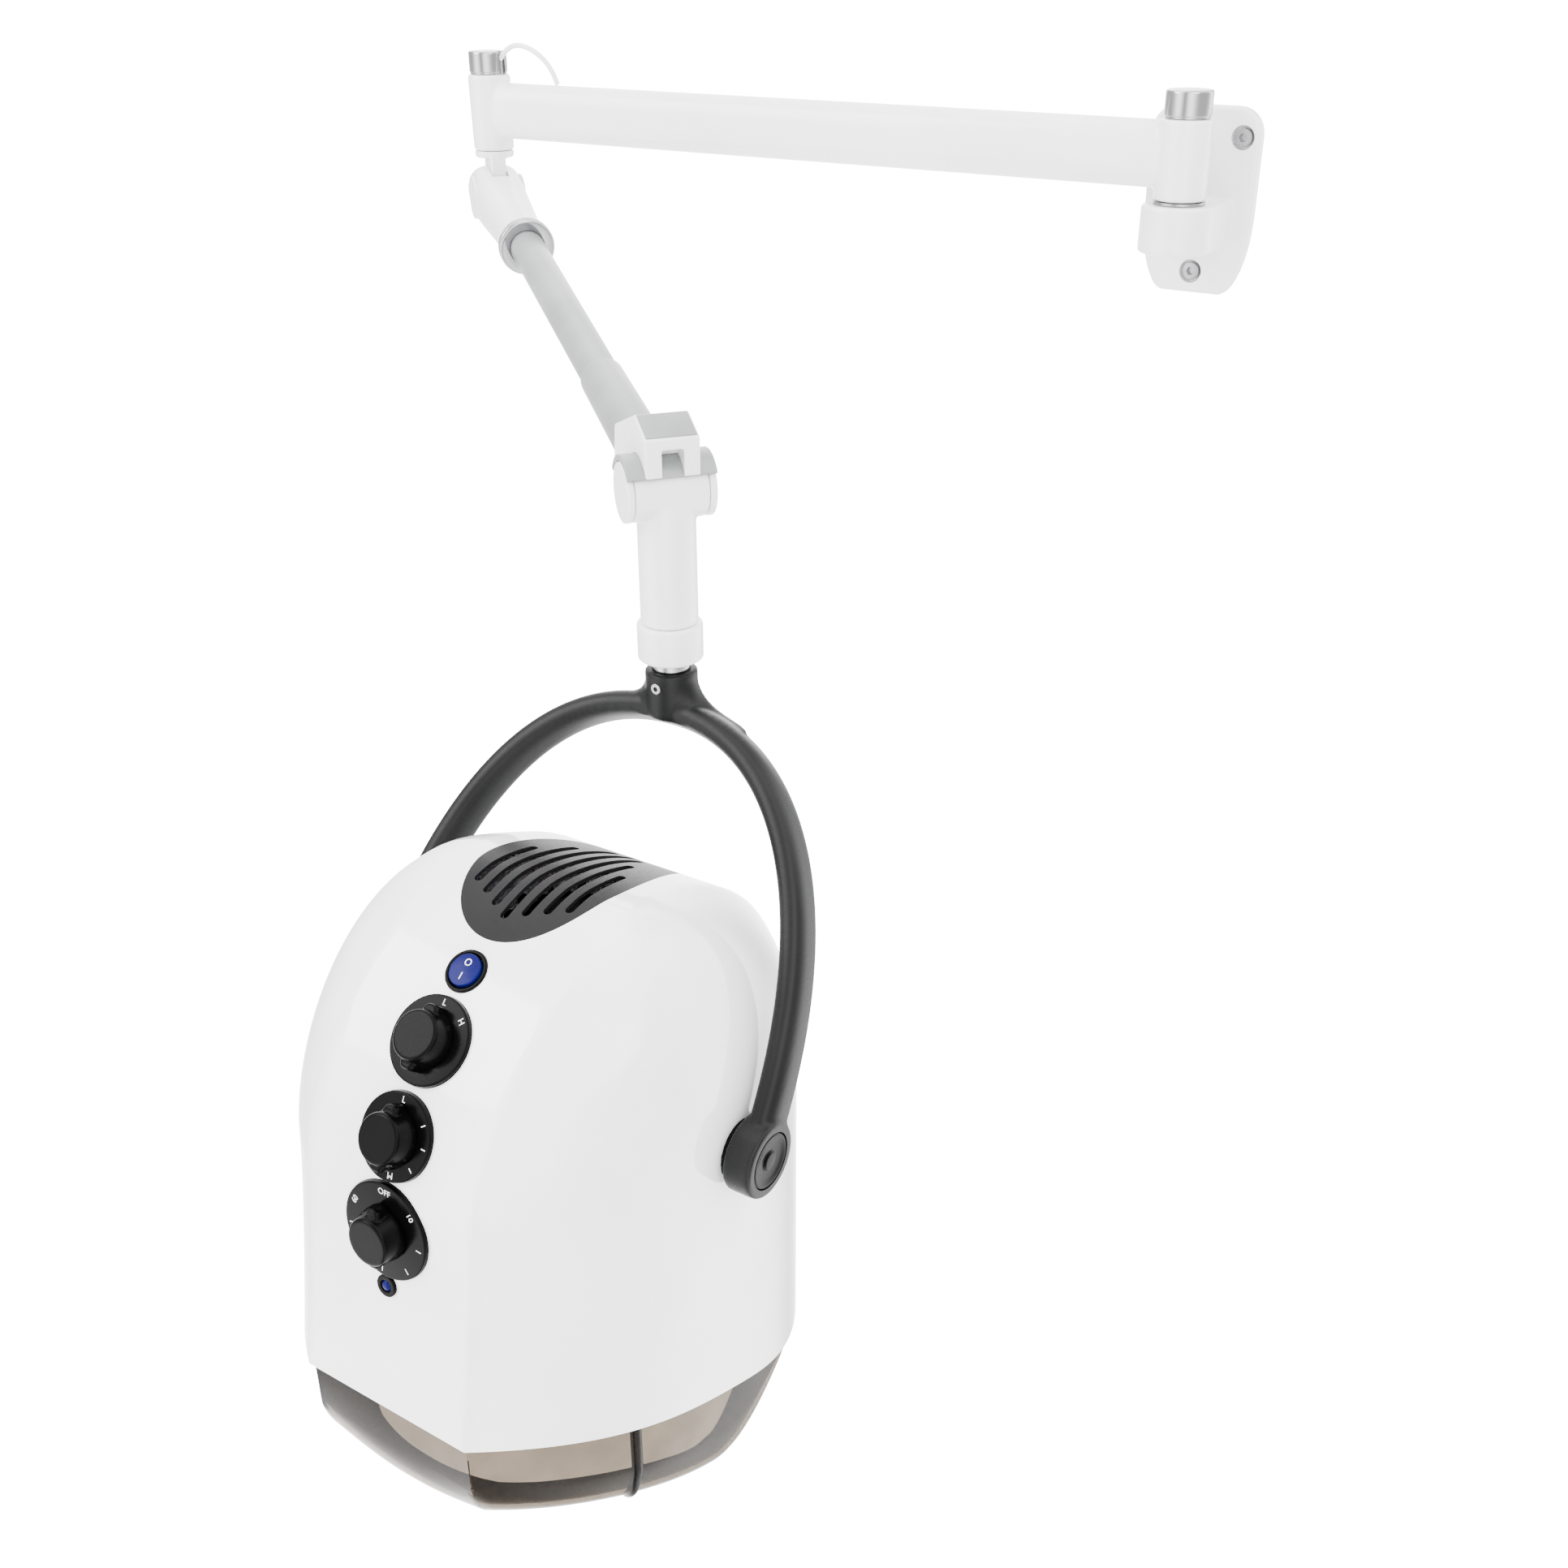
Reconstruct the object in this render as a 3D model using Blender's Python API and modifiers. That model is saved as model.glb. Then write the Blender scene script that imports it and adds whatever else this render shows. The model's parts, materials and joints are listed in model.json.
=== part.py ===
"""Wall-mounted hood hair dryer on a two-section arm.

Metres, +Z up. The origin is the centre of the wall plate's back face, the wall is the plane y = 0
and the room is towards -Y. Each body has an empty on its joint's axis and carries its own pieces.
"""
import math

import bmesh
import bpy
import numpy as np
from mathutils import Matrix, Vector

MM = 0.001
GAP = 0.3 * MM  # clearance between pieces that touch or turn in each other
SIDES = 20  # sides of a round piece
FINE_SIDES = 28  # sides of a large round piece

# Wall bracket
PLATE_WIDTH = 84 * MM
PLATE_HEIGHT = 134 * MM
PLATE_THICKNESS = 12 * MM
PLATE_CORNER = 20 * MM
PLATE_FOOT_WIDTH = 46 * MM
EAR_SPACING = 58 * MM
EAR_HEIGHT = 46 * MM  # upper screws above the plate's centre
FOOT_SCREW_DROP = 51 * MM  # lower screw below the plate's centre
SCREW_HEAD_RADIUS = 6.5 * MM
SCREW_HEAD_HEIGHT = 6 * MM
SCREW_SHANK_RADIUS = 3.2 * MM
SCREW_SOCKET_RADIUS = 3 * MM
SCREW_SOCKET_DEPTH = 3.5 * MM
SCREW_RECESS_DEPTH = 7 * MM
POST_STANDOFF = 52 * MM  # wall to post axis
BOSS_RADIUS = 27 * MM
BOSS_HEIGHT = 34 * MM
POST_RADIUS = 12 * MM
POST_SOCKET_DEPTH = 26 * MM
THRUST_WASHER_HEIGHT = 2 * MM

# Horizontal arm
ARM_HEIGHT = 36 * MM  # arm axis above the plate's centre
ARM_LENGTH = 657 * MM  # wall post to elbow post
ARM_TALL = 47 * MM
ARM_THICK = 28 * MM
SLEEVE_RADIUS = 19 * MM
WALL_SLEEVE_UP = 25 * MM
WALL_SLEEVE_BELOW = 7.5 * MM  # sleeve shown below the arm's underside
SLEEVE_TAPER = 1 * MM
ELBOW_SLEEVE_UP = 30 * MM
ELBOW_SLEEVE_DOWN = 34 * MM
CAP_RADIUS = 17 * MM
CAP_HEIGHT = 19 * MM
CAP_SLOT_WIDTH = 7 * MM
CABLE_RADIUS = 2.2 * MM

# Spring arm
HINGE_DROP = 75 * MM  # upper hinge below the arm axis
SPRING_REACH = 562 * MM  # elbow post to stem, level
SPRING_FALL = 118 * MM  # upper hinge to lower hinge
SPRING_HEADING = math.radians(-38.3)  # plan direction from +X
KNUCKLE_COLLAR = 6 * MM
TONGUE_THICK = 14 * MM
TONGUE_RADIUS = 17 * MM
HINGE_PIN_RADIUS = 5 * MM
HOUSING_LENGTH = 122 * MM
HOUSING_BACK = 24 * MM
HOUSING_HALF_WIDTH = 23 * MM
HOUSING_HALF_HEIGHT = 27 * MM
HOUSING_END_RADIUS = 20 * MM
HINGE_CAP_RADIUS = 19 * MM
HINGE_CAP_THICK = 3 * MM
TUBE_RADIUS = 15 * MM
RING_RADIUS = 24.5 * MM
RING_LENGTH = 9 * MM
LOWER_SLEEVE_RADIUS = 18 * MM
LOWER_SLEEVE_LENGTH = 110 * MM
BLOCK_LENGTH = 66 * MM
BLOCK_HALF_WIDTH = 26 * MM
BLOCK_TOP = 44 * MM
BLOCK_SLOT_WIDTH = 15 * MM
BLOCK_FOOT_CUT = 30 * MM  # the block stops this far short of the hinge below its middle
BLOCK_EDGE = 4 * MM
COVER_WALL = 4 * MM
COVER_FROM, COVER_TO = 22, 152  # degrees round the barrel, clear of the stem at both ends of its tilt

# Stem
BARREL_RADIUS = 21 * MM
BARREL_HALF_LENGTH = 26 * MM
CHEEK_THICK = 5 * MM
STEM_RADIUS = 20.5 * MM
STEM_LENGTH = 96 * MM
COLLAR_RADIUS = 23.5 * MM
COLLAR_LENGTH = 27 * MM
STUB_RADIUS = 14 * MM
STUB_SHOWN = 8 * MM
STUB_PIN_RADIUS = 9 * MM
STUB_PIN_LENGTH = 20 * MM

# Yoke
YOKE_SOCKET_RADIUS = 19 * MM
YOKE_SOCKET_LENGTH = 44 * MM
YOKE_DROP = 390 * MM  # lower hinge to hub axis
YOKE_LEAN = 154 * MM  # stem axis to hub axis, forward
YOKE_THICK = 21.5 * MM
YOKE_HALF_BREADTH = 17 * MM
YOKE_SQUARENESS = 2.25  # exponent of the arch's outline
HUB_RADIUS = 27 * MM
HUB_CAP_RADIUS = 20 * MM
HUB_RECESS = 3 * MM
PIVOT_RADIUS = 8 * MM
SET_SCREW_RADIUS = 4 * MM
SET_SCREW_DEPTH = 7 * MM

# Hood, seen from its hub axis: forward is -Y
HOOD_HALF_WIDTH = 157 * MM
HUB_CLEARANCE = 4.5 * MM  # shell to yoke, filled by the friction washers
YOKE_INNER_HALF = HOOD_HALF_WIDTH + HUB_CLEARANCE
YOKE_OUTER_HALF = YOKE_INNER_HALF + YOKE_THICK
BAND_HALF_WIDTH = 71 * MM  # flat band from the front panel over the top
HOOD_TOP = 160 * MM
HOOD_FRONT = 169 * MM
HOOD_REAR = 182 * MM
SHELL_EDGE_DROP = 153 * MM
SHELL_FRONT_FLARE = 26 * MM
SHELL_REAR_FALL = 102 * MM  # the lower edge falls towards the rear
SHELL_WALL = 3 * MM
BOWL_INSET = 24 * MM
BOWL_TOP = 90 * MM
BOWL_FLANGE_DROP = 98 * MM
VISOR_WALL = 2.5 * MM
VISOR_TUCK = 10 * MM
VISOR_DEPTH = 82 * MM  # below the shell's edge, in front and at the sides
VISOR_REAR_DEPTH = 14 * MM
VISOR_BEND = 16 * MM
VISOR_LIP = 30 * MM

# Controls
TIMER_RADIUS, TIMER_HEIGHT = 35 * MM, -17 * MM
SPEED_RADIUS, SPEED_HEIGHT = 29 * MM, 46 * MM
HEAT_RADIUS, HEAT_HEIGHT = 30 * MM, 97 * MM
SWITCH_RADIUS, SWITCH_HEIGHT = 12.5 * MM, 129 * MM
SWITCH_BEZEL = 2.5 * MM
DIAL_BACK = 6 * MM
DIAL_PROUD = 3 * MM
KNOB_RADIUS = 15 * MM
KNOB_HEIGHT = 15 * MM
KNOB_WING = 21 * MM
KNOB_WING_WIDTH = 9 * MM
SHAFT_RADIUS = 3 * MM
CONTROL_BODY_RADIUS = 17 * MM
CONTROL_BODY_DEPTH = 16 * MM
LAMP_RADIUS = 4 * MM
LAMP_DROP = 42 * MM  # lamp below the timer's centre, along the panel

# Vent and blower
VENT_FRONT = 57 * MM
VENT_REAR = 158 * MM
VENT_HALF_WIDTH = 54 * MM
VENT_SLOTS = 7
VENT_SLOT_WIDTH = 6.5 * MM
BLOWER_BACK = 20 * MM
MOTOR_RADIUS = 26 * MM
MOTOR_HEIGHT = 24 * MM
FAN_RADIUS = 42 * MM
FAN_HEIGHT = 15 * MM
FAN_BLADES = 10
FAN_BLADE_THICK = 2 * MM
HEATER_OUTER = 52 * MM
HEATER_INNER = 40 * MM
HEATER_HEIGHT = 12 * MM


for item in list(bpy.data.objects):
    bpy.data.objects.remove(item)
PARTS = bpy.data.collections.new("hood_dryer")
CUTTERS = bpy.data.collections.new("cutters")
bpy.context.scene.collection.children.link(PARTS)
bpy.context.scene.collection.children.link(CUTTERS)


def finish(name, colour, roughness, metallic=0.0):
    """A plain material of one colour."""
    material = bpy.data.materials.new(name)
    material.use_nodes = True
    shader = material.node_tree.nodes["Principled BSDF"]
    shader.inputs["Base Color"].default_value = (*colour, 1)
    shader.inputs["Roughness"].default_value = roughness
    shader.inputs["Metallic"].default_value = metallic
    return material


WHITE = finish("white_paint", (0.85, 0.85, 0.84), 0.3)
GLOSS = finish("gloss_white_plastic", (0.88, 0.88, 0.87), 0.15)
CHROME = finish("chrome", (0.8, 0.8, 0.8), 0.1, 1.0)
SATIN = finish("satin_grey", (0.62, 0.63, 0.64), 0.4, 0.3)
DARK = finish("dark_grey_paint", (0.14, 0.145, 0.15), 0.4)
BLACK = finish("black_plastic", (0.015, 0.015, 0.016), 0.25)
SMOKE = finish("smoked_plastic", (0.2, 0.17, 0.15), 0.1)
BLUE = finish("blue_plastic", (0.05, 0.2, 0.6), 0.25)
STEEL = finish("steel", (0.55, 0.55, 0.56), 0.3, 1.0)


def axis_empty(name, parent, place, turn=None):
    """An empty on a joint's axis, placed in its parent's frame."""
    empty = bpy.data.objects.new(name, None)
    PARTS.objects.link(empty)
    empty.parent = parent
    empty.matrix_local = Matrix.Translation(place) @ (turn or Matrix())
    return empty


def piece(name, mesh, material, parent, place=None):
    """An object of the model, smooth apart from its sharp edges."""
    mesh.materials.append(material)
    mesh.shade_smooth()
    mesh.set_sharp_from_angle(angle=math.radians(35))
    item = bpy.data.objects.new(name, mesh)
    PARTS.objects.link(item)
    item.parent = parent
    item.matrix_local = place or Matrix()
    return item


def cutter(mesh, parent, place=None):
    """A guide object that only cuts or joins."""
    item = bpy.data.objects.new("cutter", mesh)
    CUTTERS.objects.link(item)
    item.parent = parent
    item.matrix_local = place or Matrix()
    item.hide_render = True
    item.display_type = "WIRE"
    return item


def boolean(item, tool, operation="DIFFERENCE"):
    """Cut or join with the exact solver."""
    step = item.modifiers.new(operation.lower(), "BOOLEAN")
    step.operation = operation
    step.solver = "EXACT"
    step.object = tool


def shift(x=0.0, y=0.0, z=0.0):
    return Matrix.Translation((x, y, z))


def along(axis):
    """A turn that lays +Z along an axis."""
    return Vector(axis).to_track_quat("Z", "Y").to_matrix().to_4x4()


def mesh_from(bm):
    mesh = bpy.data.meshes.new("mesh")
    bmesh.ops.recalc_face_normals(bm, faces=bm.faces)
    bm.to_mesh(mesh)
    bm.free()
    return mesh


def cylinder_mesh(radius, low, high, sides=SIDES, top_radius=None):
    """A cylinder or cone on Z from low to high."""
    bm = bmesh.new()
    bmesh.ops.create_cone(
        bm, cap_ends=True, segments=sides, radius1=radius,
        radius2=radius if top_radius is None else top_radius, depth=high - low,
        matrix=shift(z=(low + high) / 2),
    )
    return mesh_from(bm)


def box_mesh(low, high):
    bm = bmesh.new()
    low, high = Vector(low), Vector(high)
    size = Matrix.Diagonal((*(high - low), 1))
    bmesh.ops.create_cube(bm, size=1, matrix=Matrix.Translation((low + high) / 2) @ size)
    return mesh_from(bm)


def turned_mesh(profile, sides=SIDES):
    """A closed profile of (radius, height) points turned about Z."""
    bm = bmesh.new()
    verts = [bm.verts.new((radius, 0, height)) for radius, height in profile]
    edges = [bm.edges.new(pair) for pair in zip(verts, verts[1:] + verts[:1])]
    bmesh.ops.spin(
        bm, geom=verts + edges, cent=(0, 0, 0), axis=(0, 0, 1), angle=math.tau, steps=sides,
        use_merge=True,
    )
    bmesh.ops.remove_doubles(bm, verts=bm.verts, dist=0.001 * MM)
    bmesh.ops.dissolve_degenerate(bm, edges=bm.edges, dist=0.001 * MM)
    return mesh_from(bm)


def ring_mesh(outer, inner, low, high, sides=SIDES):
    return turned_mesh([(outer, high), (outer, low), (inner, low), (inner, high)], sides)


def plate_mesh(outline, low, high):
    """A flat outline in XY, filled and raised from low to high."""
    curve = bpy.data.curves.new("outline", "CURVE")
    curve.dimensions = "2D"
    curve.fill_mode = "BOTH"
    curve.extrude = (high - low) / 2
    spline = curve.splines.new("POLY")
    spline.points.add(len(outline) - 1)
    for point, (x, y) in zip(spline.points, outline):
        point.co = (x, y, 0, 1)
    spline.use_cyclic_u = True
    return curve_to_mesh(curve, shift(z=(low + high) / 2))


def curve_to_mesh(curve, place=None):
    """A curve made a closed mesh, its caps welded."""
    item = bpy.data.objects.new("curve", curve)
    bpy.context.scene.collection.objects.link(item)
    bpy.context.view_layer.update()
    mesh = bpy.data.meshes.new_from_object(item.evaluated_get(bpy.context.evaluated_depsgraph_get()))
    bpy.data.objects.remove(item)
    bm = bmesh.new()
    bm.from_mesh(mesh)
    bmesh.ops.remove_doubles(bm, verts=bm.verts, dist=0.01 * MM)
    bm.transform(place or Matrix())
    return mesh_from(bm)


def loft_mesh(rings, loop=False):
    """Closed sections joined in order: the ends are capped, or with loop the last meets the first."""
    bm = bmesh.new()
    rows = [[bm.verts.new(point) for point in ring] for ring in rings]
    pairs = list(zip(rows, rows[1:] + rows[:1])) if loop else list(zip(rows, rows[1:]))
    for lower, upper in pairs:
        for a, b, c, d in zip(lower, lower[1:] + lower[:1], upper[1:] + upper[:1], upper):
            bm.faces.new((a, b, c, d))
    if not loop:
        bm.faces.new(rows[0])
        bm.faces.new(rows[-1])
    return mesh_from(bm)


def oval(half_y, half_z, power, count):
    """A superellipse in YZ."""
    angles = np.linspace(0, math.tau, count, endpoint=False)
    def rounded(value):
        return np.sign(value) * np.abs(value) ** (2 / power)
    return half_y * rounded(np.cos(angles)), half_z * rounded(np.sin(angles))


# Bodies: one empty for each joint
wall = axis_empty("wall_frame", None, (0, 0, 0))
arm = axis_empty("arm_axis", wall, (0, -POST_STANDOFF, ARM_HEIGHT))
elbow = axis_empty("elbow_axis", arm, (-ARM_LENGTH, 0, 0), Matrix.Rotation(SPRING_HEADING, 4, "Z"))
spring_slope = math.atan2(SPRING_FALL, SPRING_REACH)
spring_length = math.hypot(SPRING_FALL, SPRING_REACH)
spring = axis_empty("spring_axis", elbow, (0, 0, -HINGE_DROP), Matrix.Rotation(spring_slope, 4, "Y"))
stem_turn = Matrix.Rotation(-spring_slope, 4, "Y")
stem = axis_empty("stem_axis", spring, (spring_length, 0, 0), stem_turn)
yoke = axis_empty("yoke_axis", stem, (0, 0, 0), Matrix.Rotation(-SPRING_HEADING, 4, "Z"))
hood = axis_empty("hood_axis", yoke, (0, -YOKE_LEAN, -YOKE_DROP))


# Wall bracket
boss_top = ARM_HEIGHT - ARM_TALL / 2 - WALL_SLEEVE_BELOW - THRUST_WASHER_HEIGHT - 2 * GAP
boss_bottom = boss_top - BOSS_HEIGHT


def plate_outline(count=8):
    """A shield: two round ears above, straight sides, a narrower round foot."""
    half, top, foot = PLATE_WIDTH / 2, PLATE_HEIGHT / 2, PLATE_FOOT_WIDTH / 2
    ear = np.linspace(0, math.pi / 2, count)
    ear_x = half - PLATE_CORNER + PLATE_CORNER * np.cos(ear)
    ear_z = top - PLATE_CORNER + PLATE_CORNER * np.sin(ear)
    taper = np.linspace(0, 1, count)
    side_x = foot + (half - foot) * (1 - taper ** 2.2) ** 0.6
    side_z = -0.1 * top - 0.9 * top * taper
    right = list(zip(side_x[::-1], side_z[::-1])) + list(zip(ear_x, ear_z))
    return right + [(-x, z) for x, z in reversed(right)]


upright = Matrix.Rotation(math.pi / 2, 4, "X")  # a plan outline stood up, its top towards -Y
screw_places = {
    "wall_screw_left": (-EAR_SPACING / 2, EAR_HEIGHT),
    "wall_screw_right": (EAR_SPACING / 2, EAR_HEIGHT),
    "wall_screw_lower": (0, -FOOT_SCREW_DROP),
}
plate = piece("wall_plate", plate_mesh(plate_outline(), 0, PLATE_THICKNESS), WHITE, wall, upright)
boss_place = shift(y=-POST_STANDOFF)
boolean(plate, cutter(cylinder_mesh(BOSS_RADIUS, boss_bottom, boss_top), wall, boss_place), "UNION")
web = box_mesh(
    (-BOSS_RADIUS, -POST_STANDOFF, boss_bottom), (BOSS_RADIUS, -PLATE_THICKNESS / 2, boss_top))
boolean(plate, cutter(web, wall), "UNION")
post_foot = boss_top - POST_SOCKET_DEPTH
boolean(plate, cutter(cylinder_mesh(POST_RADIUS + GAP, post_foot - GAP, boss_top + GAP), wall, boss_place))
head_seat = PLATE_THICKNESS - SCREW_RECESS_DEPTH
for name, (x, z) in screw_places.items():
    place = shift(x, 0, z) @ upright
    boolean(plate, cutter(cylinder_mesh(
        SCREW_HEAD_RADIUS + 2 * MM, head_seat, PLATE_THICKNESS + GAP), wall, place))
    boolean(plate, cutter(cylinder_mesh(SCREW_SHANK_RADIUS + GAP, -GAP, PLATE_THICKNESS), wall, place))
    low, high = head_seat + GAP, head_seat + GAP + SCREW_HEAD_HEIGHT
    profile = [
        (0, high - SCREW_SOCKET_DEPTH), (SCREW_SOCKET_RADIUS, high - SCREW_SOCKET_DEPTH),
        (SCREW_SOCKET_RADIUS, high), (SCREW_HEAD_RADIUS, high), (SCREW_HEAD_RADIUS, low),
        (SCREW_SHANK_RADIUS, low), (SCREW_SHANK_RADIUS, GAP), (0, GAP),
    ]
    piece(name, turned_mesh(profile, 18), STEEL, wall, place)

sleeve_top = ARM_HEIGHT + WALL_SLEEVE_UP
post = cylinder_mesh(POST_RADIUS, post_foot, sleeve_top + CAP_HEIGHT / 2)
piece("wall_post", post, CHROME, wall, boss_place)
washer_low = boss_top + GAP
piece("thrust_washer", ring_mesh(
    SLEEVE_RADIUS, POST_RADIUS + GAP, washer_low, washer_low + THRUST_WASHER_HEIGHT), STEEL, wall, boss_place)


def cap_profile(bore_depth):
    """A chrome cap with a rounded rim over the end of a post."""
    rim = 2 * MM
    return [
        (0, CAP_HEIGHT), (CAP_RADIUS - rim, CAP_HEIGHT), (CAP_RADIUS, CAP_HEIGHT - rim), (CAP_RADIUS, 0),
        (POST_RADIUS + GAP, 0), (POST_RADIUS + GAP, bore_depth), (0, bore_depth),
    ]


wall_cap = turned_mesh(cap_profile(CAP_HEIGHT / 2 + GAP))
piece("wall_post_cap", wall_cap, CHROME, wall, boss_place @ shift(z=sleeve_top + GAP))


# Horizontal arm
def arm_sections(count=20):
    """Flat-oval sections along -X, swelling into the sleeves at both ends."""
    sections = []
    for share in (0, 0.02, 0.05, 0.1, 0.9, 0.95, 0.98, 1):
        near_end = min(share, 1 - share)
        swell = 1 + 0.04 * max(0, 1 - near_end / 0.1) ** 2
        y, z = oval(ARM_THICK / 2, ARM_TALL / 2 * swell, 2.6, count)
        sections.append([(-ARM_LENGTH * share, *point) for point in zip(y, z)])
    return sections


wall_sleeve_low = washer_low + THRUST_WASHER_HEIGHT + GAP - ARM_HEIGHT
swing_arm = piece("swing_arm", loft_mesh(arm_sections()), WHITE, arm)
boolean(swing_arm, cutter(cylinder_mesh(SLEEVE_RADIUS, wall_sleeve_low, WALL_SLEEVE_UP), arm), "UNION")
elbow_place = shift(x=-ARM_LENGTH)
boolean(swing_arm, cutter(cylinder_mesh(
    SLEEVE_RADIUS - SLEEVE_TAPER, -ELBOW_SLEEVE_DOWN, ELBOW_SLEEVE_UP, top_radius=SLEEVE_RADIUS),
    arm, elbow_place), "UNION")
bore = cylinder_mesh(POST_RADIUS + GAP, -ARM_TALL, ARM_TALL)
boolean(swing_arm, cutter(bore, arm))
boolean(swing_arm, cutter(bore.copy(), arm, elbow_place))

elbow_cap_place = elbow_place @ shift(z=ELBOW_SLEEVE_UP + GAP)
elbow_cap = piece(
    "elbow_cap", turned_mesh(cap_profile(CAP_HEIGHT / 2 + GAP)), CHROME, arm, elbow_cap_place)
slot_depth = CAP_RADIUS - POST_RADIUS - 2 * GAP
boolean(elbow_cap, cutter(box_mesh(
    (CAP_RADIUS - slot_depth, -CAP_SLOT_WIDTH / 2, -GAP),
    (CAP_RADIUS + GAP, CAP_SLOT_WIDTH / 2, CAP_HEIGHT + GAP)), arm, elbow_cap_place))

# Route of the cable from the cap's slot over to the arm's top, from the elbow post's axis
CABLE_ROUTE = [(14.9, 43), (21, 49), (31, 54), (43, 54), (55, 50), (66, 43), (74, 34), (79, 24.5)]


def cable_curve(points, radius):
    """A tube along a smooth curve through the route's points."""
    route = [Vector((x * MM, 0, z * MM)) for x, z in points]
    padded = [2 * route[0] - route[1]] + route + [2 * route[-1] - route[-2]]
    steps = 3
    smooth = []
    for a, b, c, d in zip(padded, padded[1:], padded[2:], padded[3:]):
        for t in np.arange(steps) / steps:
            smooth.append(0.5 * (2 * b + (c - a) * t + (2 * a - 5 * b + 4 * c - d) * t ** 2
                                 + (3 * b - a - 3 * c + d) * t ** 3))
    smooth.append(route[-1])
    curve = bpy.data.curves.new("cable", "CURVE")
    curve.dimensions = "3D"
    curve.bevel_depth = radius
    curve.bevel_resolution = 2
    curve.use_fill_caps = True
    spline = curve.splines.new("POLY")
    spline.points.add(len(smooth) - 1)
    for point, place in zip(spline.points, smooth):
        point.co = (*place, 1)
    return curve


piece("cable_loop", curve_to_mesh(cable_curve(CABLE_ROUTE, CABLE_RADIUS)), WHITE, arm, elbow_place)


# Elbow knuckle, which turns in the arm's front sleeve
knuckle_top = -ELBOW_SLEEVE_DOWN - GAP
knuckle = piece("elbow_knuckle", turned_mesh([
    (0, ELBOW_SLEEVE_UP + CAP_HEIGHT / 2), (POST_RADIUS, ELBOW_SLEEVE_UP + CAP_HEIGHT / 2),
    (POST_RADIUS, knuckle_top), (SLEEVE_RADIUS - SLEEVE_TAPER, knuckle_top),
    (SLEEVE_RADIUS - 2 * SLEEVE_TAPER, knuckle_top - KNUCKLE_COLLAR), (0, knuckle_top - KNUCKLE_COLLAR),
]), WHITE, elbow)
across = Matrix.Rotation(math.pi / 2, 4, "X")  # lays +Z along the hinge axis
hinge_place = shift(z=-HINGE_DROP)
half_tongue = TONGUE_THICK / 2
boolean(knuckle, cutter(cylinder_mesh(
    TONGUE_RADIUS, -half_tongue, half_tongue), elbow, hinge_place @ across), "UNION")
boolean(knuckle, cutter(box_mesh(
    (-TONGUE_RADIUS, -half_tongue, -HINGE_DROP),
    (TONGUE_RADIUS, half_tongue, knuckle_top - KNUCKLE_COLLAR / 2)), elbow), "UNION")
boolean(knuckle, cutter(cylinder_mesh(
    HINGE_PIN_RADIUS + GAP, -TONGUE_THICK, TONGUE_THICK), elbow, hinge_place @ across))


# Spring arm: +X runs down the tube, Y is the hinge axis
def housing_sections(count=20):
    """A deep rounded hinge end drawn down to a round tube end."""
    sections = []
    for share in np.linspace(0, 1, 9):
        x = -HOUSING_BACK + (HOUSING_LENGTH + HOUSING_BACK) * share
        ease = share ** 2 * (3 - 2 * share)
        rounding = 1 - 0.35 * max(0, 1 - share / 0.125)
        width = HOUSING_HALF_WIDTH + (HOUSING_END_RADIUS - HOUSING_HALF_WIDTH) * ease
        height = (HOUSING_HALF_HEIGHT + (HOUSING_END_RADIUS - HOUSING_HALF_HEIGHT) * ease) * rounding
        y, z = oval(width, height, 3.2 - 1.2 * ease, count)
        sections.append([(x, *point) for point in zip(y, z)])
    return sections


housing = piece("spring_housing", loft_mesh(housing_sections()), WHITE, spring)
slot_half = half_tongue + 2 * GAP
slot_reach = TONGUE_RADIUS + 4 * MM
boolean(housing, cutter(box_mesh(
    (-HOUSING_BACK * 2, -slot_half, -slot_reach), (slot_reach, slot_half, HOUSING_HALF_HEIGHT * 2)), spring))
boolean(housing, cutter(cylinder_mesh(
    HINGE_PIN_RADIUS + GAP, -HOUSING_HALF_WIDTH * 2, HOUSING_HALF_WIDTH * 2), spring, across))
boolean(housing, cutter(cylinder_mesh(
    HINGE_CAP_RADIUS + GAP, HOUSING_HALF_WIDTH - HINGE_CAP_THICK, HOUSING_HALF_WIDTH * 2), spring, across))
boolean(housing, cutter(cylinder_mesh(
    HINGE_CAP_RADIUS + GAP, -HOUSING_HALF_WIDTH * 2, -HOUSING_HALF_WIDTH + HINGE_CAP_THICK), spring, across))
cap_seat = HOUSING_HALF_WIDTH - HINGE_CAP_THICK + GAP
pin_half = cap_seat - GAP
piece("upper_hinge_pin", cylinder_mesh(HINGE_PIN_RADIUS, -pin_half, pin_half, 20), STEEL, spring, across)
for name, side in (("hinge_cap_left", 1), ("hinge_cap_right", -1)):
    low, high = sorted((side * cap_seat, side * (cap_seat + HINGE_CAP_THICK)))
    piece(name, cylinder_mesh(HINGE_CAP_RADIUS, low, high), WHITE, spring, across)

lay = Matrix.Rotation(math.pi / 2, 4, "Y")  # lays +Z along the tube
ring_low = HOUSING_LENGTH + GAP
tube_end = spring_length - BLOCK_LENGTH - LOWER_SLEEVE_LENGTH
ring_groove = 1.5 * MM
piece("spring_ring", turned_mesh([
    (RING_RADIUS - ring_groove, ring_low + RING_LENGTH), (RING_RADIUS, ring_low + RING_LENGTH * 0.85),
    (RING_RADIUS, ring_low + RING_LENGTH * 0.6), (RING_RADIUS - ring_groove, ring_low + RING_LENGTH * 0.5),
    (RING_RADIUS, ring_low + RING_LENGTH * 0.4), (RING_RADIUS, ring_low + RING_LENGTH * 0.15),
    (RING_RADIUS - ring_groove, ring_low), (TUBE_RADIUS + GAP, ring_low),
    (TUBE_RADIUS + GAP, ring_low + RING_LENGTH),
]), CHROME, spring, lay)
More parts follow.
